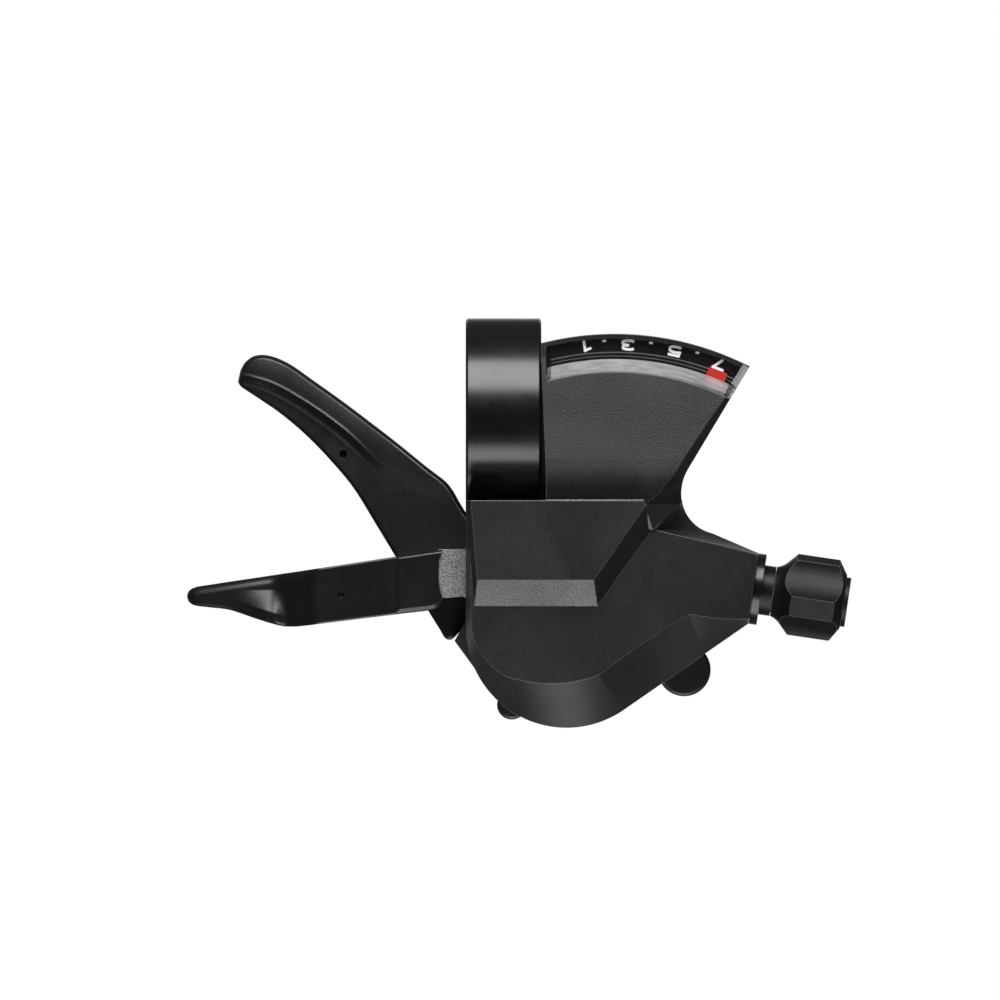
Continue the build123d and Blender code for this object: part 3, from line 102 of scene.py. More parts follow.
class Effect(Enum):
    """Shader node groups that several finishes share."""

    GRAIN = "moulded_grain"
    EDGE = "soft_edge"
    FILM = "handling_film"


class Graph:
    """A node tree with short calls for adding, setting and joining its nodes."""

    MIX_COLOURS = (6, 7)
    MIX_RESULT = 2

    def __init__(self, tree: bpy.types.NodeTree) -> None:
        """Wraps a tree.

        Args:
            tree: The node tree to fill.
        """
        self.tree = tree

    @classmethod
    def material(cls, name: str, **values: float) -> tuple[bpy.types.Material, Graph, bpy.types.Node]:
        """Starts a material.

        Args:
            name: The material's name.
            **values: Inputs of its shader by name, with spaces written as underscores.

        Returns:
            The material, its graph and its shader.
        """
        material = bpy.data.materials.new(name)
        material.use_nodes = True
        shader = material.node_tree.nodes["Principled BSDF"]
        for socket, value in values.items():
            shader.inputs[socket.replace("_", " ")].default_value = value
        return material, cls(material.node_tree), shader

    def add(self, kind: str, **values: object) -> bpy.types.Node:
        """Adds a node and sets its properties and unlinked inputs.

        Args:
            kind: Blender's type name of the node.
            **values: Properties by name, or inputs by name with spaces written as underscores.

        Returns:
            The new node.
        """
        node = self.tree.nodes.new(kind)
        for name, value in values.items():
            socket = node.inputs.get(name.replace("_", " "))
            if socket is not None:
                socket.default_value = value
            else:
                setattr(node, name, value)
        return node

    def join(self, source: Socket, target: Socket) -> None:
        """Links an output to an input.

        Args:
            source: The output socket.
            target: The input socket.
        """
        self.tree.links.new(source, target)

    def feed(self, value: object, target: Socket) -> None:
        """Links an output to an input, or sets the input's own value.

        Args:
            value: An output socket, or the value to set.
            target: The input socket.
        """
        if isinstance(value, Socket):
            self.join(value, target)
        else:
            target.default_value = value

    def math(self, operation: str, *values: object, clamp: bool = False) -> Socket:
        """Adds a Math node.

        Args:
            operation: The operation's name.
            *values: A number or an output socket for each of its inputs.
            clamp: Whether the result is kept between 0 and 1.

        Returns:
            The result's socket.
        """
        node = self.add("ShaderNodeMath", operation=operation, use_clamp=clamp)
        for value, target in zip(values, node.inputs):
            self.feed(value, target)
        return node.outputs[0]

    def mix(self, factor: Socket, first: object, second: object) -> Socket:
        """Mixes two colours.

        Args:
            factor: Socket that holds the share of the second colour.
            first: A colour or an output socket.
            second: A colour or an output socket.

        Returns:
            The mixed colour's socket.
        """
        node = self.add("ShaderNodeMix", data_type="RGBA")
        self.join(factor, node.inputs["Factor"])
        for index, value in zip(self.MIX_COLOURS, (first, second)):
            self.feed(value if isinstance(value, Socket) else (*value, 1.0), node.inputs[index])
        return node.outputs[self.MIX_RESULT]

    def ramp(self, value: Socket, low: float, high: float) -> Socket:
        """Carries a value's span from low to high onto 0 to 1 with smooth ends.

        Args:
            value: The socket to carry over.
            low: Value that gives 0.
            high: Value that gives 1.

        Returns:
            The carried value's socket.
        """
        node = self.add("ShaderNodeMapRange", interpolation_type="SMOOTHSTEP", From_Min=low, From_Max=high)
        self.join(value, node.inputs["Value"])
        return node.outputs["Result"]


class EffectLibrary:
    """The shared shader node groups, each made once."""

    SPECKLE_SPAN = (0.36, 0.64)
    MOTTLE_SPAN = (0.3, 0.7)
    BEND_SPAN = (0.01, 0.16)
    FILM_SPAN = (0.35, 0.7)

    def __init__(self) -> None:
        """Builds all groups."""
        self.trees = {Effect.GRAIN: self._grain(), Effect.EDGE: self._edge(), Effect.FILM: self._film()}

    @staticmethod
    def _start(effect: Effect, inputs: dict[str, float], outputs: Sequence[tuple[str, str]]) -> Graph:
        """Makes an empty group with named sockets.

        Args:
            effect: Which group it is.
            inputs: Input names with their defaults.
            outputs: Output names with their socket types.

        Returns:
            The group's graph, with its input and output nodes in place.
        """
        tree = bpy.data.node_groups.new(effect.value, "ShaderNodeTree")
        for name, default in inputs.items():
            socket = tree.interface.new_socket(name=name, in_out="INPUT", socket_type="NodeSocketFloat")
            socket.default_value = default
        for name, kind in outputs:
            tree.interface.new_socket(name=name, in_out="OUTPUT", socket_type=kind)
        graph = Graph(tree)
        graph.add("NodeGroupInput", name="In")
        graph.add("NodeGroupOutput", name="Out")
        return graph

    def _grain(self) -> bpy.types.NodeTree:
        """Spark-eroded mould grain: fine noise as a height and as speckle, broad noise as a mottle.

        Returns:
            The group's tree.
        """
        graph = self._start(Effect.GRAIN, {"Scale": 5000.0, "Mottle Scale": 250.0},
                            [("Height", "NodeSocketFloat"), ("Speckle", "NodeSocketFloat"),
                             ("Mottle", "NodeSocketFloat")])
        nodes = graph.tree.nodes
        place = graph.add("ShaderNodeTexCoord").outputs["Object"]
        fine = graph.add("ShaderNodeTexNoise", Detail=2.0, Roughness=0.6)
        broad = graph.add("ShaderNodeTexNoise", Detail=3.0, Roughness=0.55)
        for noise, name in ((fine, "Scale"), (broad, "Mottle Scale")):
            graph.join(place, noise.inputs["Vector"])
            graph.join(nodes["In"].outputs[name], noise.inputs["Scale"])
        graph.join(fine.outputs["Fac"], nodes["Out"].inputs["Height"])
        graph.join(graph.ramp(fine.outputs["Fac"], *self.SPECKLE_SPAN), nodes["Out"].inputs["Speckle"])
        graph.join(graph.ramp(broad.outputs["Fac"], *self.MOTTLE_SPAN), nodes["Out"].inputs["Mottle"])
        return graph.tree

    def _edge(self) -> bpy.types.NodeTree:
        """Rounded edges: a normal bent within a radius of each edge, and a mask of where it bends, which
        the finishes use to paint a highlight along edges.

        Returns:
            The group's tree.
        """
        graph = self._start(Effect.EDGE, {"Radius": 0.0002},
                            [("Normal", "NodeSocketVector"), ("Edge", "NodeSocketFloat")])
        nodes = graph.tree.nodes
        bevel = graph.add("ShaderNodeBevel", samples=6)
        graph.join(nodes["In"].outputs["Radius"], bevel.inputs["Radius"])
        flat = graph.add("ShaderNodeNewGeometry").outputs["Normal"]
        dot = graph.add("ShaderNodeVectorMath", operation="DOT_PRODUCT")
        graph.join(bevel.outputs["Normal"], dot.inputs[0])
        graph.join(flat, dot.inputs[1])
        bend = graph.math("SUBTRACT", 1.0, dot.outputs["Value"], clamp=True)
        graph.join(bevel.outputs["Normal"], nodes["Out"].inputs["Normal"])
        graph.join(graph.ramp(bend, *self.BEND_SPAN), nodes["Out"].inputs["Edge"])
        return graph.tree

    def _film(self) -> bpy.types.NodeTree:
        """Film left by handling: distorted noise that makes a surface duller in patches.

        Returns:
            The group's tree.
        """
        graph = self._start(Effect.FILM, {"Scale": 90.0}, [("Film", "NodeSocketFloat")])
        nodes = graph.tree.nodes
        place = graph.add("ShaderNodeTexCoord").outputs["Object"]
        noise = graph.add("ShaderNodeTexNoise", Detail=4.0, Roughness=0.62, Distortion=0.6)
        graph.join(place, noise.inputs["Vector"])
        graph.join(nodes["In"].outputs["Scale"], noise.inputs["Scale"])
        graph.join(graph.ramp(noise.outputs["Fac"], *self.FILM_SPAN), nodes["Out"].inputs["Film"])
        return graph.tree

    def place(self, graph: Graph, effect: Effect, **values: float) -> bpy.types.Node:
        """Puts a group into a material.

        Args:
            graph: The material's graph.
            effect: Which group.
            **values: Its inputs, with spaces written as underscores.

        Returns:
            The group's node.
        """
        return graph.add("ShaderNodeGroup", node_tree=self.trees[effect], **values)


@dataclass(frozen=True)
class Finish:
    """One finish: its colours, gloss, grain and rounded edges, with a painted highlight in a lighter colour
    along the edges.
    """

    name: str
    base: Colour
    light: Colour
    # colour of the painted highlight along edges
    edge: Colour
    roughness: float
    spread: float = 0.08
    metallic: float = 0.0
    specular: float = 0.5
    coat: float = 0.0
    coat_roughness: float = 0.1
    grain_scale: float = 5000.0
    grain_depth: float = 0.00002
    grain_strength: float = 0.2
    mottle_scale: float = 250.0
    speckle: float = 0.5
    mottle: float = 0.15
    sparkle: float = 0.0
    edge_radius: float = 0.00018
    # how much of the edge colour is painted on as a highlight
    edge_highlight_share: float = 0.45

    def build(self, effects: EffectLibrary) -> bpy.types.Material:
        """Makes the material.

        Args:
            effects: The shared node groups.

        Returns:
            The material.
        """
        material, graph, shader = Graph.material(
            self.name, Metallic=self.metallic, Specular_IOR_Level=self.specular,
            Coat_Weight=self.coat, Coat_Roughness=self.coat_roughness)
        grain = effects.place(graph, Effect.GRAIN, Scale=self.grain_scale, Mottle_Scale=self.mottle_scale)
        edge = effects.place(graph, Effect.EDGE, Radius=self.edge_radius)
        film = effects.place(graph, Effect.FILM)
        mottle = graph.math("MULTIPLY", grain.outputs["Mottle"], self.mottle)
        speckle = graph.math("MULTIPLY", grain.outputs["Speckle"], self.speckle)
        colour = graph.mix(graph.math("ADD", mottle, speckle, clamp=True), self.base, self.light)
        # painted highlight: the colour is lightened towards the edge colour where the bevel normal bends
        colour = graph.mix(graph.math("MULTIPLY", edge.outputs["Edge"], self.edge_highlight_share), colour, self.edge)
        if self.sparkle:
            peaks = graph.math("MULTIPLY", grain.outputs["Speckle"], self.sparkle)
            graph.join(peaks, shader.inputs["Coat Weight"])
        bump = graph.add("ShaderNodeBump", Strength=self.grain_strength, Distance=self.grain_depth)
        graph.join(grain.outputs["Height"], bump.inputs["Height"])
        graph.join(edge.outputs["Normal"], bump.inputs["Normal"])
        graph.join(colour, shader.inputs["Base Color"])
        graph.join(self.gloss(graph, film.outputs["Film"]), shader.inputs["Roughness"])
        graph.join(bump.outputs["Normal"], shader.inputs["Normal"])
        return material

    def gloss(self, graph: Graph, film: Socket) -> Socket:
        """Roughness, raised where the surface has been handled.

        Args:
            graph: The material's graph.
            film: Share of the handling film.

        Returns:
            The roughness's socket.
        """
        return graph.math("MULTIPLY_ADD", film, self.spread, self.roughness)


@dataclass(frozen=True)
class CoverFinish(Finish):
    """The top cover's grain, smoother at the display face's ends, duller at both ends of the flank."""

    left: Span = (5.2 * MM, 5.5 * MM)
    rear: Span = (-12.6 * MM, -12.3 * MM)
    below: Span = (16.75 * MM, 16.6 * MM)
    foot: Span = (-6.5 * MM, -11.3 * MM)
    foot_gloss: float = 0.21
    brow: Span = (-4.5 * MM, 1.0 * MM)
    brow_gloss: float = 0.05
    flank: Span = (13.45 * MM, 13.20 * MM)
    steep: Span = (0.92, 0.8)
    flank_ends: Sequence[Span] = ((2.0 * MM, -3.5 * MM), (19.0 * MM, 31.0 * MM))
    end_dullness: Span = (0.5, 0.42)

    def gloss(self, graph: Graph, film: Socket) -> Socket:
        """Roughness that falls towards both ends of the display's face and rises at both ends of the flank.

        Args:
            graph: The material's graph.
            film: Share of the handling film.

        Returns:
            The roughness's socket.
        """
        place = graph.add("ShaderNodeSeparateXYZ")
        graph.join(graph.add("ShaderNodeTexCoord").outputs["Object"], place.inputs[0])
        x, y, z = place.outputs
        face = graph.math("MULTIPLY", graph.ramp(x, *self.left), graph.ramp(y, *self.rear))
        face = graph.math("MULTIPLY", face, graph.ramp(z, *self.below))
        foot = graph.math("MULTIPLY", graph.ramp(y, *self.foot), self.foot_gloss)
        brow = graph.math("MULTIPLY", graph.ramp(y, *self.brow), self.brow_gloss)
        smooth = graph.math("MULTIPLY", face, graph.math("ADD", foot, brow))
        ends = [graph.math("MULTIPLY", graph.ramp(x, *span), change)
                for span, change in zip(self.flank_ends, self.end_dullness)]
        facing = graph.add("ShaderNodeSeparateXYZ")
        graph.join(graph.add("ShaderNodeNewGeometry").outputs["Normal"], facing.inputs[0])
        steep = graph.ramp(facing.outputs["Z"], *self.steep)
        steep = graph.math("MULTIPLY", steep, graph.ramp(z, *self.flank))
        flank = graph.math("MULTIPLY", graph.math("ADD", *ends), steep)
        return graph.math("ADD", graph.math("SUBTRACT", super().gloss(graph, film), smooth), flank)


@dataclass(frozen=True)
class ClearFinish:
    """Clear window moulding whose inner bevel is finely frosted."""

    name: str = "clear_window"
    index: float = 1.45
    clear: Colour = (0.97, 0.98, 1.0)
    frosted: Colour = (0.86, 0.87, 0.9)
    clear_roughness: float = 0.03
    frost_roughness: float = 0.4
    frost_span: Span = (38.77 * MM, 38.59 * MM)

    def build(self, effects: EffectLibrary) -> bpy.types.Material:
        """Makes the material: gloss clear beyond a radius about the needle's pivot, frosted within it.

        Args:
            effects: The shared node groups.

        Returns:
            The material.
        """
        material, graph, shader = Graph.material(self.name, Transmission_Weight=1.0, IOR=self.index)
        shift = graph.add("ShaderNodeMapping", vector_type="POINT", Scale=(1.0, 1.0, 0.0),
                          Location=(-NEEDLE_PIVOT[0], -NEEDLE_PIVOT[1], 0.0))
        graph.join(graph.add("ShaderNodeTexCoord").outputs["Object"], shift.inputs["Vector"])
        reach = graph.add("ShaderNodeVectorMath", operation="LENGTH")
        graph.join(shift.outputs["Vector"], reach.inputs[0])
        frost = graph.ramp(reach.outputs["Value"], *self.frost_span)
        graph.join(graph.mix(frost, self.clear, self.frosted), shader.inputs["Base Color"])
        rough = graph.math("MULTIPLY_ADD", frost, self.frost_roughness, self.clear_roughness)
        graph.join(rough, shader.inputs["Roughness"])
        return material


@dataclass(frozen=True)
class PaintedReflectionFinish:
    """Skin of painted reflection: pale where a clear bevel refracts the bright surround, streaked along its
    piece, and thin enough to show what lies under it.
    """

    name: str
    dark: Colour
    light: Colour
    roughness: float = 0.3
    cover: float = 0.64
    streak_scale: Colour = (9.0, 5.0, 1.0)
    streak_span: Span = (0.3, 0.7)

    def build(self) -> bpy.types.Material:
        """Makes the material.

        Returns:
            The material.
        """
        material, graph, shader = Graph.material(self.name, Roughness=self.roughness, Alpha=self.cover)
        stretch = graph.add("ShaderNodeMapping", Scale=self.streak_scale)
        graph.join(graph.add("ShaderNodeTexCoord").outputs["UV"], stretch.inputs["Vector"])
        streak = graph.add("ShaderNodeTexNoise", Scale=1.0, Detail=3.0)
        graph.join(stretch.outputs["Vector"], streak.inputs["Vector"])
        share = graph.ramp(streak.outputs["Fac"], *self.streak_span)
        graph.join(graph.mix(share, self.dark, self.light), shader.inputs["Base Color"])
        return material


@dataclass(frozen=True)
class Ink:
    """Printed ink with a faint uneven cover."""

    name: str
    colour: Colour
    roughness: float
    wear: float = 0.88
    wear_scale: float = 9000.0
    wear_span: Span = (0.4, 0.8)

    def build(self) -> bpy.types.Material:
        """Makes the material.

        Returns:
            The material.
        """
        material, graph, shader = Graph.material(self.name, Roughness=self.roughness)
        noise = graph.add("ShaderNodeTexNoise", Scale=self.wear_scale, Detail=2.0)
        graph.join(graph.add("ShaderNodeTexCoord").outputs["Object"], noise.inputs["Vector"])
        worn = tuple(self.wear * part for part in self.colour)
        share = graph.ramp(noise.outputs["Fac"], *self.wear_span)
        graph.join(graph.mix(share, self.colour, worn), shader.inputs["Base Color"])
        return material


# The third colour of each finish is its painted edge highlight.
FINISHES: dict[Slot, Finish | ClearFinish] = {
    Slot.BAND: Finish(
        "band_black_paint", (0.003, 0.003, 0.0031), (0.005, 0.005, 0.0052), (0.016, 0.016, 0.016), 0.26,
        specular=0.34, coat=0.28, coat_roughness=0.24, grain_strength=0.04, edge_radius=0.00025),
    Slot.COVER: CoverFinish(
        "cover_charcoal_grain", (0.0045, 0.0049, 0.0058), (0.0105, 0.0111, 0.0126), (0.32, 0.323, 0.33),
        0.39, specular=0.74, grain_depth=0.00008, grain_strength=0.38, sparkle=0.42, coat_roughness=0.26,
        edge_radius=0.00025),
    Slot.COVER_BASE: Finish(
        "base_black_grain", (0.018, 0.018, 0.0186), (0.028, 0.028, 0.029), (0.14, 0.14, 0.14), 0.4,
        specular=0.6, grain_depth=0.00004, grain_strength=0.4, edge_radius=0.0006),
    Slot.LEVER: Finish(
        "lever_satin_black", (0.004, 0.004, 0.0042), (0.008, 0.008, 0.0083), (0.02, 0.02, 0.0205), 0.31,
        grain_scale=4500.0, grain_depth=0.00004, grain_strength=0.4, edge_radius=0.00006),
    Slot.ADJUSTER: Finish(
        "adjuster_satin_black", (0.005, 0.005, 0.0052), (0.009, 0.009, 0.0093), (0.55, 0.55, 0.55), 0.36,
        specular=0.22, grain_depth=0.00004, grain_strength=0.35, edge_radius=0.00015),
    Slot.ZINC: Finish(
        "zinc_as_cast", (0.13, 0.132, 0.138), (0.45, 0.455, 0.47), (0.5, 0.5, 0.51), 0.5,
        metallic=0.6, grain_scale=5200.0, grain_depth=0.0001, grain_strength=0.9, speckle=0.95),
    Slot.STEEL: Finish(
        "plated_steel", (0.5, 0.5, 0.5), (0.58, 0.58, 0.57), (0.7, 0.7, 0.7), 0.28, metallic=1.0),
    Slot.STEEL_DARK: Finish(
        "oxide_steel", (0.02, 0.02, 0.021), (0.035, 0.035, 0.036), (0.2, 0.2, 0.2), 0.36, metallic=0.6),
    Slot.SPRING_STEEL: Finish(
        "spring_wire", (0.42, 0.42, 0.43), (0.5, 0.5, 0.5), (0.6, 0.6, 0.6), 0.25, metallic=1.0),
    Slot.DRUM: Finish(
        "natural_acetal", (0.58, 0.57, 0.54), (0.64, 0.63, 0.6), (0.7, 0.7, 0.68), 0.4),
    Slot.DIAL: Finish(
        "dial_black", (0.003, 0.003, 0.003), (0.005, 0.005, 0.005), (0.006, 0.006, 0.006), 0.6,
        specular=0.08),
    Slot.LENS: ClearFinish(),
    Slot.POINTER: Finish(
        "pointer_red", (0.37, 0.011, 0.005), (0.41, 0.015, 0.008), (0.45, 0.02, 0.012), 0.5, specular=0.3),
}


@dataclass
class SolidSurface:
    """Builds mesh objects from arrays of points and faces."""

    material: bpy.types.Material

    def make(self, name: str, points: np.ndarray, faces: Sequence[Sequence[int]],
             smooth: bool = True) -> bpy.types.Object:
        """Makes an object at the origin from points and faces.

        Args:
            name: The object's name.
            points: Points, n by 3, in metres.
            faces: Point numbers of each face.
            smooth: Whether faces are shaded smooth.

        Returns:
            The object, in the scene's collection.
        """
        mesh = bpy.data.meshes.new(name)
        places = np.asarray(points, dtype=float).reshape(-1, 3).tolist()
        mesh.from_pydata(places, [], [list(face) for face in faces])
        mesh.polygons.foreach_set("use_smooth", np.full(len(mesh.polygons), smooth))
        mesh.materials.append(self.material)
        mesh.validate()
        piece = bpy.data.objects.new(name, mesh)
        bpy.context.scene.collection.objects.link(piece)
        return piece


def grid_faces(rows: int, columns: int) -> np.ndarray:
    """Four-sided faces of a grid of points that is numbered row by row.

    Args:
        rows: How many rows of points.
        columns: How many points in a row.

    Returns:
        Point numbers, a line per face.
    """
    cell = (np.arange(rows - 1)[:, None] * columns + np.arange(columns - 1)).ravel()
    return np.stack([cell, cell + columns, cell + columns + 1, cell + 1], axis=-1)


def crowded(count: int) -> np.ndarray:
    """Shares from 0 to 1 that crowd at both ends: half of one less a cosine over half a turn."""
    return 0.5 - 0.5 * np.cos(np.pi * np.linspace(0, 1, count))


def through(points: Line, count: int) -> np.ndarray:
    """Smooth line through points: a cubic between each two, its end slopes set by their neighbours.

    Args:
        points: The points in millimetres.
        count: How many places along the line.

    Returns:
        Places in metres, count by 2, equally many on each span.
    """
    knots = np.asarray(points, dtype=float) * MM
    ends = np.vstack([2 * knots[0] - knots[1], knots, 2 * knots[-1] - knots[-2]])
    place = np.linspace(0, len(knots) - 1, count)
    span = np.minimum(place.astype(int), len(knots) - 2)
    t = (place - span)[:, None]
    p0, p1, p2, p3 = (ends[span + i] for i in range(4))
    cubic = 3 * p1 - p0 - 3 * p2 + p3
    return 0.5 * (2 * p1 + (p2 - p0) * t + (2 * p0 - 5 * p1 + 4 * p2 - p3) * t ** 2 + cubic * t ** 3)


def beside(grid: np.ndarray, line: np.ndarray) -> tuple[np.ndarray, np.ndarray]:
    """Distance of each place to a line, positive on its right, and the share of the line passed.

    Args:
        grid: Places, any shape by 2.
        line: The line's places, n by 2.

    Returns:
        The distances and the shares.
    """
    gap = grid[..., None, :] - line
    spot = np.hypot(gap[..., 0], gap[..., 1]).argmin(axis=-1)
    run = np.gradient(line, axis=0)[spot]
    gap = grid - line[spot]
    away = np.hypot(gap[..., 0], gap[..., 1])
    return -away * np.sign(run[..., 0] * gap[..., 1] - run[..., 1] * gap[..., 0]), spot / (len(line) - 1)


def ease(value: np.ndarray, low: float, high: float) -> np.ndarray:
    """Smooth step from 0 at low to 1 at high, 3t squared less 2t cubed between them."""
    share = np.clip((value - low) / (high - low), 0.0, 1.0)
    return share * share * (3.0 - 2.0 * share)


def rounding(distance: np.ndarray, radius: np.ndarray | float) -> np.ndarray:
    """Fall of a rounded edge: a quarter circle of the radius, nothing beyond it."""
    inside = np.clip(1.0 - distance / radius, 0.0, 1.0)
    return radius * (1.0 - np.sqrt(1.0 - inside ** 2))


STROKES: dict[int, Sequence[tuple[bool, Line]]] = {
    1: ((False, ((0.16, 0.5), (0.22, -0.5))), (False, ((-0.5, 0.3), (0.16, 0.5)))),
    3: ((True, ((-0.5, 0.38), (-0.3, 0.5), (0.1, 0.5), (0.4, 0.42), (0.44, 0.25), (0.3, 0.06),
                (-0.08, 0.02))),
        (True, ((-0.08, 0.02), (0.3, -0.03), (0.5, -0.22), (0.42, -0.42), (0.1, -0.5), (-0.3, -0.5),
                (-0.5, -0.38)))),
    5: ((False, ((0.46, 0.5), (-0.36, 0.5))),
        (False, ((-0.38, 0.5), (-0.44, 0.08))),
        (True, ((-0.44, 0.08), (0.0, 0.14), (0.4, 0.06), (0.5, -0.18), (0.38, -0.42), (0.0, -0.5),
                (-0.32, -0.5), (-0.5, -0.42)))),
    7: ((False, ((-0.5, 0.5), (0.5, 0.5))), (False, ((0.5, 0.5), (-0.1, -0.5)))),
}


@dataclass
class DialPrint:
    """White figures, dots, a black border and fine grey lines on the dial strip; the outer grey line is a
    painted highlight of the dial plate's ridge edge, the rest is print.
    """

    white: Ink = Ink("dial_white_ink", (0.95, 0.95, 0.95), 0.5)
    grey: Ink = Ink("dial_grey_ink_and_ridge_highlight", (0.1, 0.1, 0.1), 0.5)
    black: Ink = Ink("dial_black_ink", (0.004, 0.004, 0.004), 0.6)
    top: float = 12.75 * MM
    figure_lift: float = 0.02 * MM
    line_lift: float = 0.015 * MM
    border_lift: float = 0.01 * MM
    figure_radius: float = 40.73 * MM
    figure_height: float = 1.6 * MM
    figures: Sequence[tuple[int, float, float]] = (
        (1, -5.8, 1.5 * MM), (3, 2.7, 2.0 * MM), (5, 12.2, 2.0 * MM), (7, 21.5, 1.8 * MM))
    stroke: float = 0.38 * MM
    stroke_lift: float = 0.006 * MM
    stroke_steps: int = 40
    dot_radius: float = 41.3 * MM
    dot_angles: Sequence[float] = (-2.1, 7.2, 16.6)
    dot_size: Span = (0.58 * MM, 0.34 * MM)
    dot_power: float = 0.45
    dot_steps: int = 16
    # the outer line is a painted highlight of the dial plate's ridge edge
    lines: Sequence[Span] = ((39.64 * MM, 0.16 * MM), (39.12 * MM, 0.1 * MM))
    line_span: Span = (-13.4, 25.6)
    arc_steps: int = 60
    rim_radius: float = 42.3 * MM
    rim_left: float = 5.4 * MM
    border: Span = (0.57 * MM, 0.8 * MM)
    border_foot: float = 37.5 * MM

    def at(self, radius: np.ndarray, angle: np.ndarray, lift: float) -> np.ndarray:
        """Points at radii and angles clockwise from +Y about the needle's pivot.

        Args:
            radius: Radii in metres.
            angle: Angles in degrees.
            lift: Height above the strip's face.

        Returns:
            Points, n by 3.
        """
        turn = np.radians(angle)
        x = NEEDLE_PIVOT[0] + radius * np.sin(turn)
        y = NEEDLE_PIVOT[1] + radius * np.cos(turn)
        return np.stack([x, y, np.full_like(x, self.top + lift)], axis=-1)

    def figure(self, gear: int, angle: float, width: float, surface: SolidSurface) -> bpy.types.Object:
        """Makes one wide figure, its head towards the pivot.

        Each stroke is a ribbon: its middle line moved half a stroke to either side along its normals,
        laid a hair above the stroke before it.

        Args:
            gear: The gear's number.
            angle: Its angle in degrees.
            width: Its width in metres.
            surface: The mesh maker with the print's ink.

        Returns:
            The figure as a mesh object at the origin.
        """
        size = np.array([width - self.stroke, self.figure_height - self.stroke])
        ribbons, faces, start = [], [], 0
        for smooth, points in STROKES[gear]:
            middle = through(points, self.stroke_steps) / MM if smooth else np.asarray(points, dtype=float)
            middle = middle * size
            run = np.gradient(middle, axis=0)
            run /= np.linalg.norm(run, axis=1, keepdims=True)
            middle[0] -= run[0] * self.stroke / 2 * (not smooth)
            middle[-1] += run[-1] * self.stroke / 2 * (not smooth)
            aside = np.stack([-run[:, 1], run[:, 0]], axis=-1) * self.stroke / 2
            ribbons.append(np.concatenate([middle + aside, middle - aside]))
            faces += (start + grid_faces(2, len(middle))).tolist()
            start += 2 * len(middle)
        flat = np.concatenate(ribbons)
        lift = np.repeat(self.stroke_lift * np.arange(len(ribbons)), [len(ribbon) for ribbon in ribbons])
        turn = math.radians(angle)
        centre = self.at(np.array([self.figure_radius]), np.array([angle]), self.figure_lift)[0]
        right = np.array([-math.cos(turn), math.sin(turn)])
        head = np.array([-math.sin(turn), -math.cos(turn)])
        placed = centre[:2] + flat[:, :1] * right + flat[:, 1:] * head
        points = np.column_stack([placed, centre[2] + lift])
        return surface.make(f"dial_figure_{gear}", points, faces, smooth=False)

    def dots(self, surface: SolidSurface) -> bpy.types.Object:
        """Makes the short dashes between the figures, each a rounded box outline (a superellipse).

        Args:
            surface: The mesh maker with the print's ink.

        Returns:
            The dashes as one object.
        """
        steps, count = self.dot_steps, len(self.dot_angles)
        turn = np.linspace(0, 2 * np.pi, steps, endpoint=False)
        outline = np.stack([np.cos(turn), np.sin(turn)])
        outline = np.sign(outline) * np.abs(outline) ** self.dot_power
        wide, deep = outline * np.array(self.dot_size)[:, None] / 2
        radius = self.dot_radius + np.tile(deep, count)
        angle = np.repeat(self.dot_angles, steps) + np.degrees(np.tile(wide, count) / self.dot_radius)
        points = self.at(radius, angle, self.figure_lift)
        faces = np.arange(steps * count).reshape(count, steps)[:, ::-1]
        return surface.make("dial_dots", points, faces.tolist(), smooth=False)

    def line(self, radius: float, width: float, surface: SolidSurface) -> bpy.types.Object:
        """Makes a fine line: a flat strip between two radii, carried round the pivot.

        Args:
            radius: The line's middle radius in metres.
            width: Its width in metres.
            surface: The mesh maker with the line's ink.

        Returns:
            The line as an object.
        """
        angles = np.linspace(*self.line_span, self.arc_steps)
        radii = radius + width / 2 * np.array([[-1.0], [1.0]])
        points = self.at(radii + np.zeros_like(angles), angles, self.line_lift)
        faces = grid_faces(2, self.arc_steps).tolist()
        return surface.make(f"dial_line_{radius / MM:.0f}", points, faces, smooth=False)

    def edge(self, inset: float) -> np.ndarray:
        """Line round the strip at a distance inside the display's rim: left side, arc and raked end.

        Args:
            inset: The distance in metres.

        Returns:
            Points of the plan, n by 2.
        """
        left = self.rim_left + inset - NEEDLE_PIVOT[0]
        radius = self.rim_radius - inset
        rake = np.array(WINDOW_RAKE)
        corner = np.array(WINDOW_CORNER) - NEEDLE_PIVOT + inset * np.array([-rake[1], rake[0]])
        along = corner @ rake
        ends = [corner + rake * (math.sqrt(along ** 2 - corner @ corner + reach ** 2) - along)
                for reach in (radius, self.border_foot)]
        turn = np.linspace(math.asin(left / radius), math.atan2(ends[0][0], ends[0][1]), self.arc_steps)
        arc = radius * np.stack([np.sin(turn), np.cos(turn)], axis=-1)
        start = [left, math.sqrt(self.border_foot ** 2 - left ** 2)]
        return np.array(NEEDLE_PIVOT) + np.concatenate([[start], arc, [ends[1]]])

    def frame(self, surface: SolidSurface) -> bpy.types.Object:
        """Makes the border: a flat strip between two lines round the strip's edge.

        Args:
            surface: The mesh maker with the border's ink.

        Returns:
            The border as an object.
        """
        plan = np.concatenate([self.edge(self.border[1]), self.edge(self.border[0])])
        points = np.column_stack([plan, np.full(len(plan), self.top + self.border_lift)])
        return surface.make("dial_border", points, grid_faces(2, len(plan) // 2).tolist(), smooth=False)

    def build(self) -> list[bpy.types.Object]:
        """Makes all of the print and the painted ridge highlight, and seats them on the housing.

        Returns:
            The new pieces.
        """
        white, grey, black = (SolidSurface(ink.build()) for ink in (self.white, self.grey, self.black))
        pieces = [self.figure(gear, angle, width, white) for gear, angle, width in self.figures]
        pieces.append(self.dots(white))
        # grey lines; the outer one is a painted highlight of the dial plate's ridge edge
        pieces += [self.line(radius, width, grey) for radius, width in self.lines]
        pieces.append(self.frame(black))
        for piece in pieces:
            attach(piece, "housing")
        return pieces


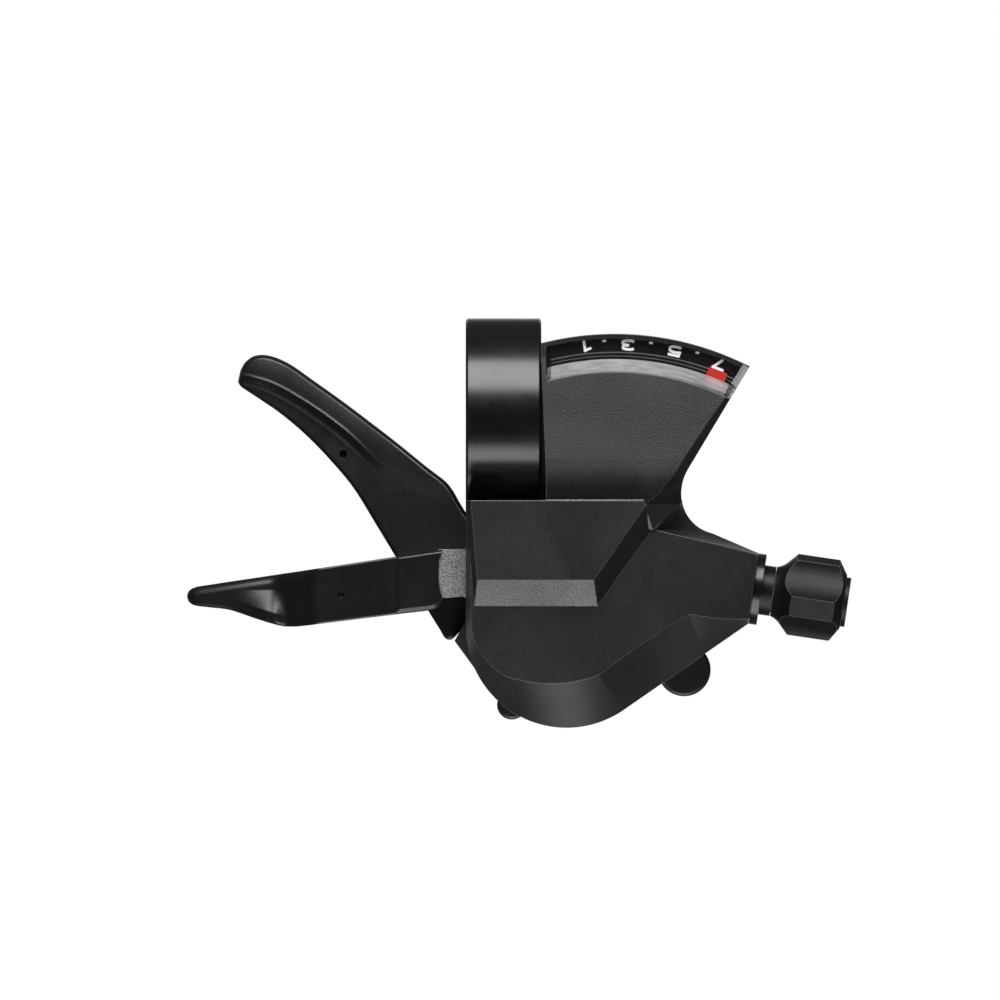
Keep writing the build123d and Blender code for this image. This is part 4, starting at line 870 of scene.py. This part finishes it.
@dataclass
class LeverSkin:
    """Closed moulding between two edge lines, its upper and lower faces given as levels over the plan."""

    node: str
    low_edge: Line
    high_edge: Line
    hole: tuple[float, float, float, float]
    along: int = 200
    across: int = 64
    edge_steps: int = 400
    hole_sides: int = 28
    hole_height: float = 6.0 * MM
    crease: float = 38.0

    def plan(self) -> np.ndarray:
        """Grid of places: lines from the low edge to the high edge, closer together near both.

        Returns:
            Places in metres, along by across by 2.
        """
        low, high = through(self.low_edge, self.along), through(self.high_edge, self.along)
        share = crowded(self.across)[None, :, None]
        return low[:, None] * (1 - share) + high[:, None] * share

    def levels(self, grid: np.ndarray) -> tuple[np.ndarray, np.ndarray]:
        """Levels of the upper and lower face over the plan.

        Args:
            grid: The plan's places.

        Returns:
            The upper and the lower levels in metres.
        """
        raise NotImplementedError

    def edge_distance(self, grid: np.ndarray) -> tuple[np.ndarray, np.ndarray]:
        """Distances of each place to the low edge and to the high edge, the tip belonging to both.

        Args:
            grid: The plan's places.

        Returns:
            The two distances.
        """
        tip = grid[-1]
        low = np.concatenate([through(self.low_edge, self.edge_steps), tip])
        high = np.concatenate([through(self.high_edge, self.edge_steps), tip])
        return np.abs(beside(grid, low)[0]), np.abs(beside(grid, high)[0])

    def pierce(self, piece: bpy.types.Object) -> None:
        """Sinks the lever's small blind hole: a drum is taken out of the moulding and the result kept.

        Args:
            piece: The moulding.
        """
        x, y, radius, floor = (value * MM for value in self.hole)
        count = self.hole_sides
        turn = np.linspace(0, 2 * np.pi, count, endpoint=False)
        ring = np.stack([x + radius * np.cos(turn), y + radius * np.sin(turn)], axis=-1)
        levels = (floor, floor + self.hole_height)
        points = np.concatenate([np.column_stack([ring, np.full(count, level)]) for level in levels])
        sides = [(i, (i + 1) % count, count + (i + 1) % count, count + i) for i in range(count)]
        faces = [*sides, range(count - 1, -1, -1), range(count, 2 * count)]
        drum = SolidSurface(piece.data.materials[0]).make("drum", points, faces)
        cut = piece.modifiers.new("hole", "BOOLEAN")
        cut.object = drum
        cut.operation = "DIFFERENCE"
        cut.solver = "EXACT"
        done = bpy.data.meshes.new_from_object(piece.evaluated_get(bpy.context.evaluated_depsgraph_get()))
        piece.modifiers.clear()
        piece.data = done
        bpy.data.objects.remove(drum)

    def build(self, material: bpy.types.Material) -> bpy.types.Object:
        """Makes the moulding and puts it in the place of its solid.

        Args:
            material: The lever's finish.

        Returns:
            The moulding.
        """
        grid = self.plan()
        n, m = self.along, self.across
        points = np.concatenate([np.dstack([grid, level]).reshape(-1, 3) for level in self.levels(grid)])
        top = grid_faces(n, m)
        rim = np.concatenate([np.arange(n) * m, (n - 1) * m + np.arange(1, m),
                              np.arange(n - 2, -1, -1) * m + m - 1, np.arange(m - 2, 0, -1)])
        after = np.roll(rim, -1)
        side = np.stack([rim, rim + n * m, after + n * m, after], axis=-1)
        faces = np.concatenate([top, top[:, ::-1] + n * m, side])
        piece = SolidSurface(material).make(f"{self.node}_skin", points, faces.tolist())
        self.settle(piece)
        self.pierce(piece)
        piece.data.set_sharp_from_angle(angle=math.radians(self.crease))
        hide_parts(self.node)
        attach(piece, f"{self.node.removesuffix('_cap')}_body")
        return piece

    @staticmethod
    def settle(piece: bpy.types.Object) -> None:
        """Turns all faces outwards.

        Args:
            piece: The moulding.
        """
        work = bmesh.new()
        work.from_mesh(piece.data)
        bmesh.ops.recalc_face_normals(work, faces=work.faces)
        work.to_mesh(piece.data)
        work.free()


@dataclass
class ThumbLever(LeverSkin):
    """Thumb lever: a falling web with a rolled thumb edge behind a fine ridge."""

    node: str = "thumb_lever"
    low_edge: Line = (
        (-4.4, -28.0), (-5.9, -30.2), (-7.3, -31.7), (-8.3, -31.6), (-9.2, -30.2), (-11.3, -26.8),
        (-14.5, -21.5), (-18.0, -15.7), (-21.4, -10.2), (-24.8, -6.1), (-28.2, -2.6), (-31.6, 0.3),
        (-34.6, 2.4), (-36.5, 3.65), (-37.5, 4.35), (-37.95, 5.0))
    high_edge: Line = (
        (-4.4, -15.0), (-5.0, -14.15), (-5.6, -13.3), (-6.4, -11.95), (-7.3, -10.4), (-8.4, -9.1),
        (-11.0, -7.1), (-15.0, -3.85), (-19.2, -0.6), (-23.2, 2.4), (-27.2, 5.25), (-30.6, 7.6),
        (-33.4, 8.75), (-35.5, 8.75), (-36.9, 7.8), (-37.6, 6.6))
    ridge: Line = (
        (-9.5, -14.5), (-13.0, -11.2), (-17.2, -7.2), (-22.2, -2.3), (-27.3, 1.5), (-32.4, 4.5),
        (-36.0, 5.7), (-38.6, 6.3))
    hole: tuple[float, float, float, float] = (-22.9, -5.3, 0.55, -13.6)
    axle: Span = (9.0 * MM, -30.0 * MM)
    bearing: float = 142.0
    root_level: float = -7.0 * MM
    drop: float = 7.2 * MM
    ramp: Span = (16.5 * MM, 66.0 * MM)
    probe_steps: int = 160
    ridge_steps: int = 500
    ridge_offset: float = 0.02
    ridge_rise: Span = (34.0 * MM, 43.0 * MM)
    ridge_fade: Span = (54.0 * MM, 60.0 * MM)
    ridge_loss: float = 0.6
    step_height: float = 0.6 * MM
    step_run: float = 0.95 * MM
    step_power: float = 1.4
    bead_height: float = 0.04 * MM
    bead_place: float = 1.45 * MM
    bead_width: float = 0.3 * MM
    hollow_depth: float = 0.1 * MM
    hollow_run: float = 0.42 * MM
    roll_curve: float = 0.03 / MM
    roll_width: float = 3.0 * MM
    roll_rise: Span = (32.0 * MM, 40.0 * MM)
    bevel_curve: float = 4.0 / MM
    bevel_width: float = 0.55 * MM
    low_rounding: float = 0.45 * MM
    under_rounding: float = 0.3 * MM
    thickness: float = 3.2 * MM
    skirt_depth: float = 7.0 * MM
    skirt_rise: Span = (24.0 * MM, 36.0 * MM)
    skirt_side: Span = (-0.25 * MM, 0.1 * MM)

    def plan(self) -> np.ndarray:
        """Grid of places with a column on the ridge, and columns closer together at it and at both edges.

        Each line across is cut where its side of the ridge changes; before the ridge starts the first
        cut is kept.

        Returns:
            Places in metres, along by across by 2.
        """
        low, high = (through(line, self.along)[:, None] for line in (self.low_edge, self.high_edge))
        probe = np.linspace(0, 1, self.probe_steps)
        lines = low * (1 - probe[:, None]) + high * probe[:, None]
        past, share = beside(lines, through(self.ridge, self.probe_steps))
        meets = (past[:, :-1] < 0) & (past[:, 1:] >= 0) & (share[:, 1:] > self.ridge_offset)
        rows = np.flatnonzero(meets.any(axis=1))
        spot = meets[rows].argmax(axis=1)
        before, after = past[rows, spot], past[rows, spot + 1]
        cut = probe[spot] - before / (after - before) * probe[1]
        cut = np.interp(np.arange(self.along), rows, cut)[:, None]
        half = crowded(self.across // 2)
        columns = [cut * half, cut + (1 - cut) * half[1:], np.ones_like(cut)]
        across = np.concatenate(columns, axis=1)[..., None]
        across[:, -2] = 0.5 * (across[:, -3] + across[:, -1])
        return low * (1 - across) + high * across

    def levels(self, grid: np.ndarray) -> tuple[np.ndarray, np.ndarray]:
        """Web falling with the reach as a parabola; past the ridge a step up, a hollow and a rolled edge.

        Args:
            grid: The plan's places.

        Returns:
            The upper and the lower levels in metres.
        """
        turn = math.radians(self.bearing)
        reach = (grid - self.axle) @ np.array([math.cos(turn), math.sin(turn)])
        share = np.clip((reach - self.ramp[0]) / (self.ramp[1] - self.ramp[0]), 0.0, 1.0)
        web = self.root_level - self.drop * (1.0 - (1.0 - share) ** 2)
        past, _ = beside(grid, through(self.ridge, self.ridge_steps))
        to_low, to_high = self.edge_distance(grid)
        strength = ease(reach, *self.ridge_rise) * (1.0 - self.ridge_loss * ease(reach, *self.ridge_fade))
        step = self.step_height * np.clip(past / self.step_run + 1.0, 0.0, 1.0) ** self.step_power
        bead = self.bead_height * np.exp(-((past + self.bead_place) / self.bead_width) ** 2)
        hollow = self.hollow_depth * ease(past, 0.0, self.hollow_run)
        roll = self.roll_curve * np.maximum(self.roll_width - to_high, 0.0) ** 2
        roll = roll * ease(reach, *self.roll_rise)
        bevel = self.bevel_curve * np.maximum(self.bevel_width - to_high, 0.0) ** 2
        edge = rounding(to_low, self.low_rounding) + roll + bevel
        upper = web + strength * (step + bead - hollow) - edge
        skirt = self.skirt_depth * ease(reach, *self.skirt_rise) * ease(past, *self.skirt_side)
        lower = web - self.thickness - skirt + rounding(np.minimum(to_low, to_high), self.under_rounding)
        return upper, lower


@dataclass
class ReleaseCap(LeverSkin):
    """Cap of the release lever: a flat arm that drops to a finger pad with a raised outer lip."""

    node: str = "release_lever_cap"
    low_edge: Line = (
        (-8.4, -26.5), (-9.2, -27.2), (-10.4, -27.6), (-14.9, -28.15), (-20.0, -28.78), (-25.0, -29.4),
        (-28.5, -29.84), (-30.2, -29.95), (-32.0, -29.8), (-35.1, -28.9), (-39.0, -27.6), (-42.0, -27.2),
        (-44.0, -26.95), (-44.85, -26.5), (-45.2, -25.85))
    high_edge: Line = (
        (-8.7, -18.95), (-9.6, -19.07), (-10.8, -19.25), (-14.9, -19.87), (-20.0, -20.64), (-25.0, -21.4),
        (-28.5, -21.93), (-30.2, -22.18), (-32.0, -22.45), (-35.1, -22.92), (-39.0, -23.5), (-42.0, -23.96),
        (-43.8, -24.25), (-44.8, -24.7), (-45.2, -25.35))
    hole: tuple[float, float, float, float] = (-23.2, -25.4, 0.42, 1.62)
    top: float = 2.0 * MM
    root_hollow: float = 0.85 * MM
    root_fade: float = 22.4
    root_height: float = 0.22 * MM
    root_span: Span = (-15.25 * MM, -14.95 * MM)
    root_bevel: Span = (-15.3 * MM, -15.0 * MM)
    high_bevel: Span = (0.6, 0.4 * MM)
    low_bevel: Span = (0.5, 0.7 * MM)
    fall: float = 4.2 * MM
    fall_span: Span = (26.2 * MM, 33.4 * MM)
    sink_curve: float = 0.008 / MM
    sink_start: float = -33.0 * MM
    lip_slope: float = 0.42
    lip_line: float = -24.7 * MM
    lip_rise: Span = (30.6 * MM, 33.0 * MM)
    lip_fade: Span = (-39.5 * MM, -33.5 * MM)
    lip_margin: float = 1.5 * MM
    margin_slope: float = 1.3
    edge_rounding: float = 0.3 * MM
    high_softening: float = 1.1 * MM
    high_span: Span = (26.0 * MM, 29.0 * MM)
    low_softening: float = 0.3 * MM
    low_span: Span = (26.0 * MM, 30.0 * MM)
    underside: float = -4.4 * MM
    pad_underside: float = -8.6 * MM
    underside_start: float = -21.0 * MM
    underside_run: float = 9.0 * MM
    tip_slope: float = 0.1
    tip_start: float = -38.0 * MM
    under_rounding: float = 0.35 * MM
    thinnest: float = 0.8 * MM

    def plan(self) -> np.ndarray:
        """Grid of places with a hollow root end: a parabola across the arm that fades along it.

        Returns:
            Places in metres, along by across by 2.
        """
        grid = super().plan()
        share = crowded(self.across)
        fade = np.exp(-np.linspace(0, self.root_fade, self.along))[:, None]
        grid[..., 0] -= self.root_hollow * 4 * share * (1 - share) * fade
        return grid

    def levels(self, grid: np.ndarray) -> tuple[np.ndarray, np.ndarray]:
        """Flat arm with a raised root, a smooth fall to the pad, and a pad that tilts up to its lip.

        Args:
            grid: The plan's places.

        Returns:
            The upper and the lower levels in metres.
        """
        x, y = grid[..., 0], grid[..., 1]
        to_low, to_high = self.edge_distance(grid)
        fall = self.fall * ease(-x, *self.fall_span)
        sink = self.sink_curve * np.maximum(self.sink_start - x, 0.0) ** 2
        root = self.root_height * ease(x, *self.root_span)
        margin = self.margin_slope * np.maximum(self.lip_margin - to_low, 0.0)
        lip = self.lip_slope * np.maximum(self.lip_line - y - margin, 0.0)
        lip = lip * ease(x, *self.lip_fade) * ease(-x, *self.lip_rise)
        high = self.edge_rounding + self.high_softening * ease(-x, *self.high_span)
        low = self.edge_rounding + self.low_softening * ease(-x, *self.low_span)
        bevel = sum(slope * np.maximum(width - distance, 0.0) for distance, (slope, width) in (
            (to_high, self.high_bevel), (to_low, self.low_bevel)))
        edge = rounding(to_high, high) + rounding(to_low, low) + bevel * ease(x, *self.root_bevel)
        upper = self.top + root - fall - sink + lip - edge
        share = np.clip((self.underside_start - x) / self.underside_run, 0, 1)
        bottom = self.underside + (self.pad_underside - self.underside) * share
        bottom = bottom + self.tip_slope * np.maximum(self.tip_start - x, 0.0)
        bottom = bottom + rounding(np.minimum(to_low, to_high), self.under_rounding)
        return upper, np.minimum(bottom, upper - self.thinnest)


@dataclass
class LensBevel:
    """Skin of painted reflection on the window's two clear bevels: a pale cone strip inside, and a flat
    facet at the end in darker colours, a painted shaded copy.
    """

    # painted reflection on the inner bevel, and a darker painted shaded copy of it on the end facet
    bevel_reflection: PaintedReflectionFinish = PaintedReflectionFinish("lens_bevel_painted_reflection", (0.48, 0.49, 0.5), (0.78, 0.79, 0.8))
    end_shaded_reflection: PaintedReflectionFinish = PaintedReflectionFinish("lens_end_painted_shaded_copy", (0.3, 0.31, 0.32), (0.55, 0.56, 0.57))
    radii: Span = (36.93 * MM, 38.66 * MM)
    levels: Span = (14.33 * MM, 15.28 * MM)
    left: float = 6.75 * MM
    end_angle: float = 25.0
    bevel_steps: tuple[int, int] = (90, 6)
    facet_run: Span = (-2.75 * MM, 0.5 * MM)
    facet_inset: float = 0.06 * MM
    facet_width: float = 0.97 * MM
    facet_steps: tuple[int, int] = (12, 4)
    skin: float = 0.015 * MM

    def strip(self, name: str, points: np.ndarray, material: bpy.types.Material) -> bpy.types.Object:
        """Makes a strip from a grid of points, its UV running along and across it.

        Args:
            name: The piece's name.
            points: The grid, along by across by 3.
            material: The finish.

        Returns:
            The strip, riding on the housing.
        """
        n, m = points.shape[:2]
        piece = SolidSurface(material).make(name, points, grid_faces(n, m).tolist())
        loops = np.empty(len(piece.data.loops), dtype=np.int32)
        piece.data.loops.foreach_get("vertex_index", loops)
        flat = np.stack([np.linspace(0, 1, n).repeat(m), np.tile(np.linspace(0, 1, m), n)], axis=-1)
        piece.data.uv_layers.new(name="along").data.foreach_set("uv", flat[loops].ravel())
        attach(piece, "housing")
        return piece

    def level(self, share: np.ndarray) -> np.ndarray:
        """Level of a bevel's skin at a share of the way up it, in a straight line."""
        return self.levels[0] + share * (self.levels[1] - self.levels[0]) + self.skin

    def inner(self) -> np.ndarray:
        """Cone strip between two radii about the pivot, from the window's left line to its end.

        Returns:
            The grid of points.
        """
        along, share = (np.linspace(0, 1, steps) for steps in self.bevel_steps)
        radius = self.radii[0] + share * (self.radii[1] - self.radii[0])
        first = np.arcsin((self.left - NEEDLE_PIVOT[0]) / radius)
        turn = first + along[:, None] * (math.radians(self.end_angle) - first)
        x = NEEDLE_PIVOT[0] + radius * np.sin(turn)
        y = NEEDLE_PIVOT[1] + radius * np.cos(turn)
        return np.dstack([x, y, np.broadcast_to(self.level(share), turn.shape)])

    def end(self) -> np.ndarray:
        """Flat facet along the raked end, rising inwards.

        Returns:
            The grid of points.
        """
        run = np.linspace(*self.facet_run, self.facet_steps[0])
        run, share = np.meshgrid(run, np.linspace(0, 1, self.facet_steps[1]), indexing="ij")
        aside = self.facet_inset - self.skin + share * self.facet_width
        x = WINDOW_CORNER[0] + run * WINDOW_RAKE[0] - aside * WINDOW_RAKE[1]
        y = WINDOW_CORNER[1] + run * WINDOW_RAKE[1] + aside * WINDOW_RAKE[0]
        return np.dstack([x, y, self.level(share)])

    def build(self) -> list[bpy.types.Object]:
        """Makes both strips.

        Returns:
            The new pieces.
        """
        bevel = self.strip("lens_bevel", self.inner(), self.bevel_reflection.build())
        return [bevel, self.strip("lens_end", self.end(), self.end_shaded_reflection.build())]


@dataclass
class Studio:
    """Camera, two softboxes, and a floor and a surround that are white to the camera."""

    centre: Span = (-0.5 * MM, -11.857 * MM)
    frame_width: float = 142.857 * MM
    camera_height: float = 0.7
    aim: Span = (0.01, -0.02)
    boxes: Sequence[tuple[str, float, float, Span, float]] = (
        ("rider_softbox", 51.5, 0.55, (0.3, 0.36), 3.4),
        ("front_softbox", -60.0, 0.55, (0.2, 0.56), 1.95),
    )
    fill: float = 0.05
    far_tone: float = 0.1
    horizon: Span = (0.3, 0.0)
    floor_level: float = -0.4
    floor_half: float = 3.0
    pool: Span = (0.11, 0.2)
    glow: float = 1.04
    glow_share: float = 0.92

    def camera(self) -> None:
        """Sets a parallel camera straight above the gear window, +Y up in its picture."""
        data = bpy.data.cameras.new("camera")
        data.type = "ORTHO"
        data.ortho_scale = self.frame_width
        camera = bpy.data.objects.new("camera", data)
        camera.location = (*self.centre, self.camera_height)
        bpy.context.scene.collection.objects.link(camera)
        bpy.context.scene.camera = camera

    def lamps(self) -> None:
        """Hangs the softboxes, each turned to face the shifter."""
        for name, tilt, distance, size, power in self.boxes:
            data = bpy.data.lights.new(name, "AREA")
            data.shape = "RECTANGLE"
            data.size, data.size_y = size
            data.energy = power
            lamp = bpy.data.objects.new(name, data)
            turn = math.radians(tilt)
            x, y = self.aim
            lamp.location = (x, y + distance * math.sin(turn), distance * math.cos(turn))
            lamp.rotation_euler = (-turn, 0.0, 0.0)
            bpy.context.scene.collection.objects.link(lamp)

    @staticmethod
    def seen(graph: Graph) -> tuple[Socket, Socket]:
        """Share of rays that show the surround: those of the camera, of gloss and of clear pieces.

        Args:
            graph: The graph to add the nodes to.

        Returns:
            The share of all of them, and the share of the camera's own.
        """
        rays = graph.add("ShaderNodeLightPath").outputs
        shown = graph.math("MAXIMUM", rays["Is Camera Ray"], rays["Is Glossy Ray"])
        return graph.math("MAXIMUM", shown, rays["Is Transmission Ray"]), rays["Is Camera Ray"]

    def world(self) -> None:
        """Gives a dim even fill and a pale tone near and below the horizon, all white to the camera."""
        world = bpy.data.worlds.new("surround")
        world.use_nodes = True
        bpy.context.scene.world = world
        graph = Graph(world.node_tree)
        background = world.node_tree.nodes["Background"]
        height = graph.add("ShaderNodeSeparateXYZ")
        graph.join(graph.add("ShaderNodeTexCoord").outputs["Generated"], height.inputs[0])
        seen, shown = self.seen(graph)
        low = graph.math("MULTIPLY", seen, graph.ramp(height.outputs["Z"], *self.horizon))
        strength = graph.math("MULTIPLY_ADD", low, self.far_tone, self.fill)
        background.inputs["Color"].default_value = (1.0, 1.0, 1.0, 1.0)
        graph.join(graph.math("MAXIMUM", strength, shown), background.inputs["Strength"])

    def floor(self) -> None:
        """Lays the floor: white to the camera, in reflections fading away from the shifter."""
        material, graph, shader = Graph.material("pale_floor")
        nodes = material.node_tree.nodes
        nodes.remove(shader)
        reach = graph.add("ShaderNodeVectorMath", operation="LENGTH")
        flat = graph.add("ShaderNodeMapping", Scale=(1.0, 1.0, 0.0))
        graph.join(graph.add("ShaderNodeTexCoord").outputs["Object"], flat.inputs["Vector"])
        graph.join(flat.outputs["Vector"], reach.inputs[0])
        seen, shown = self.seen(graph)
        away = graph.math("SUBTRACT", graph.ramp(reach.outputs["Value"], *self.pool), shown, clamp=True)
        tone = graph.mix(away, (1.0, 1.0, 1.0), (self.far_tone,) * 3)
        diffuse = graph.add("ShaderNodeBsdfDiffuse")
        glow = graph.add("ShaderNodeEmission", Strength=self.glow)
        graph.join(tone, diffuse.inputs["Color"])
        graph.join(tone, glow.inputs["Color"])
        blend = graph.add("ShaderNodeMixShader")
        graph.join(graph.math("MULTIPLY", seen, self.glow_share), blend.inputs[0])
        graph.join(diffuse.outputs[0], blend.inputs[1])
        graph.join(glow.outputs[0], blend.inputs[2])
        graph.join(blend.outputs[0], nodes["Material Output"].inputs["Surface"])
        half, level = self.floor_half, self.floor_level
        corners = [(-half, -half, level), (half, -half, level), (half, half, level), (-half, half, level)]
        floor = SolidSurface(material).make("floor", np.array(corners), [(0, 1, 2, 3)], smooth=False)

    def build(self) -> None:
        """Sets the colour transform and builds the whole studio."""
        bpy.context.scene.view_settings.view_transform = "Standard"
        self.camera()
        self.lamps()
        self.world()
        self.floor()


@dataclass
class Shifter:
    """The shifter's solids with their finishes."""

    frame: dict
    effects: EffectLibrary

    def dress(self) -> dict[str, bpy.types.Material]:
        """Gives every solid the finish of its record slot.

        Returns:
            The finishes by slot name.
        """
        built = {slot.value: finish.build(self.effects) for slot, finish in FINISHES.items()}
        for part in self.frame["record"]["subparts"]:
            solid = self.frame["nodes"][part["node"]]
            solid.data.materials.clear()
            solid.data.materials.append(built[part["material_slot"]])
            LOG.info("dressed %s as %s", part["node"], part["material_slot"])
        self.frame["nodes"]["display_lens"].visible_shadow = False
        return built


def main() -> None:
    """Loads the solids, dresses them, adds the levers, the dial print with a painted ridge highlight, and
    the painted reflection on the lens bevels, and sets up the studio.
    """
    logging.basicConfig(level=logging.INFO, format="%(name)s: %(message)s")
    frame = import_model()
    shifter = Shifter(frame, EffectLibrary())
    finishes = shifter.dress()
    lever = finishes[Slot.LEVER.value]
    levers = [ThumbLever().build(lever), ReleaseCap().build(lever)]
    for piece in [*levers, *DialPrint().build(), *LensBevel().build()]:
        LOG.info("made %s", piece.name)
    Studio().build()


if __name__ == "__main__":
    main()
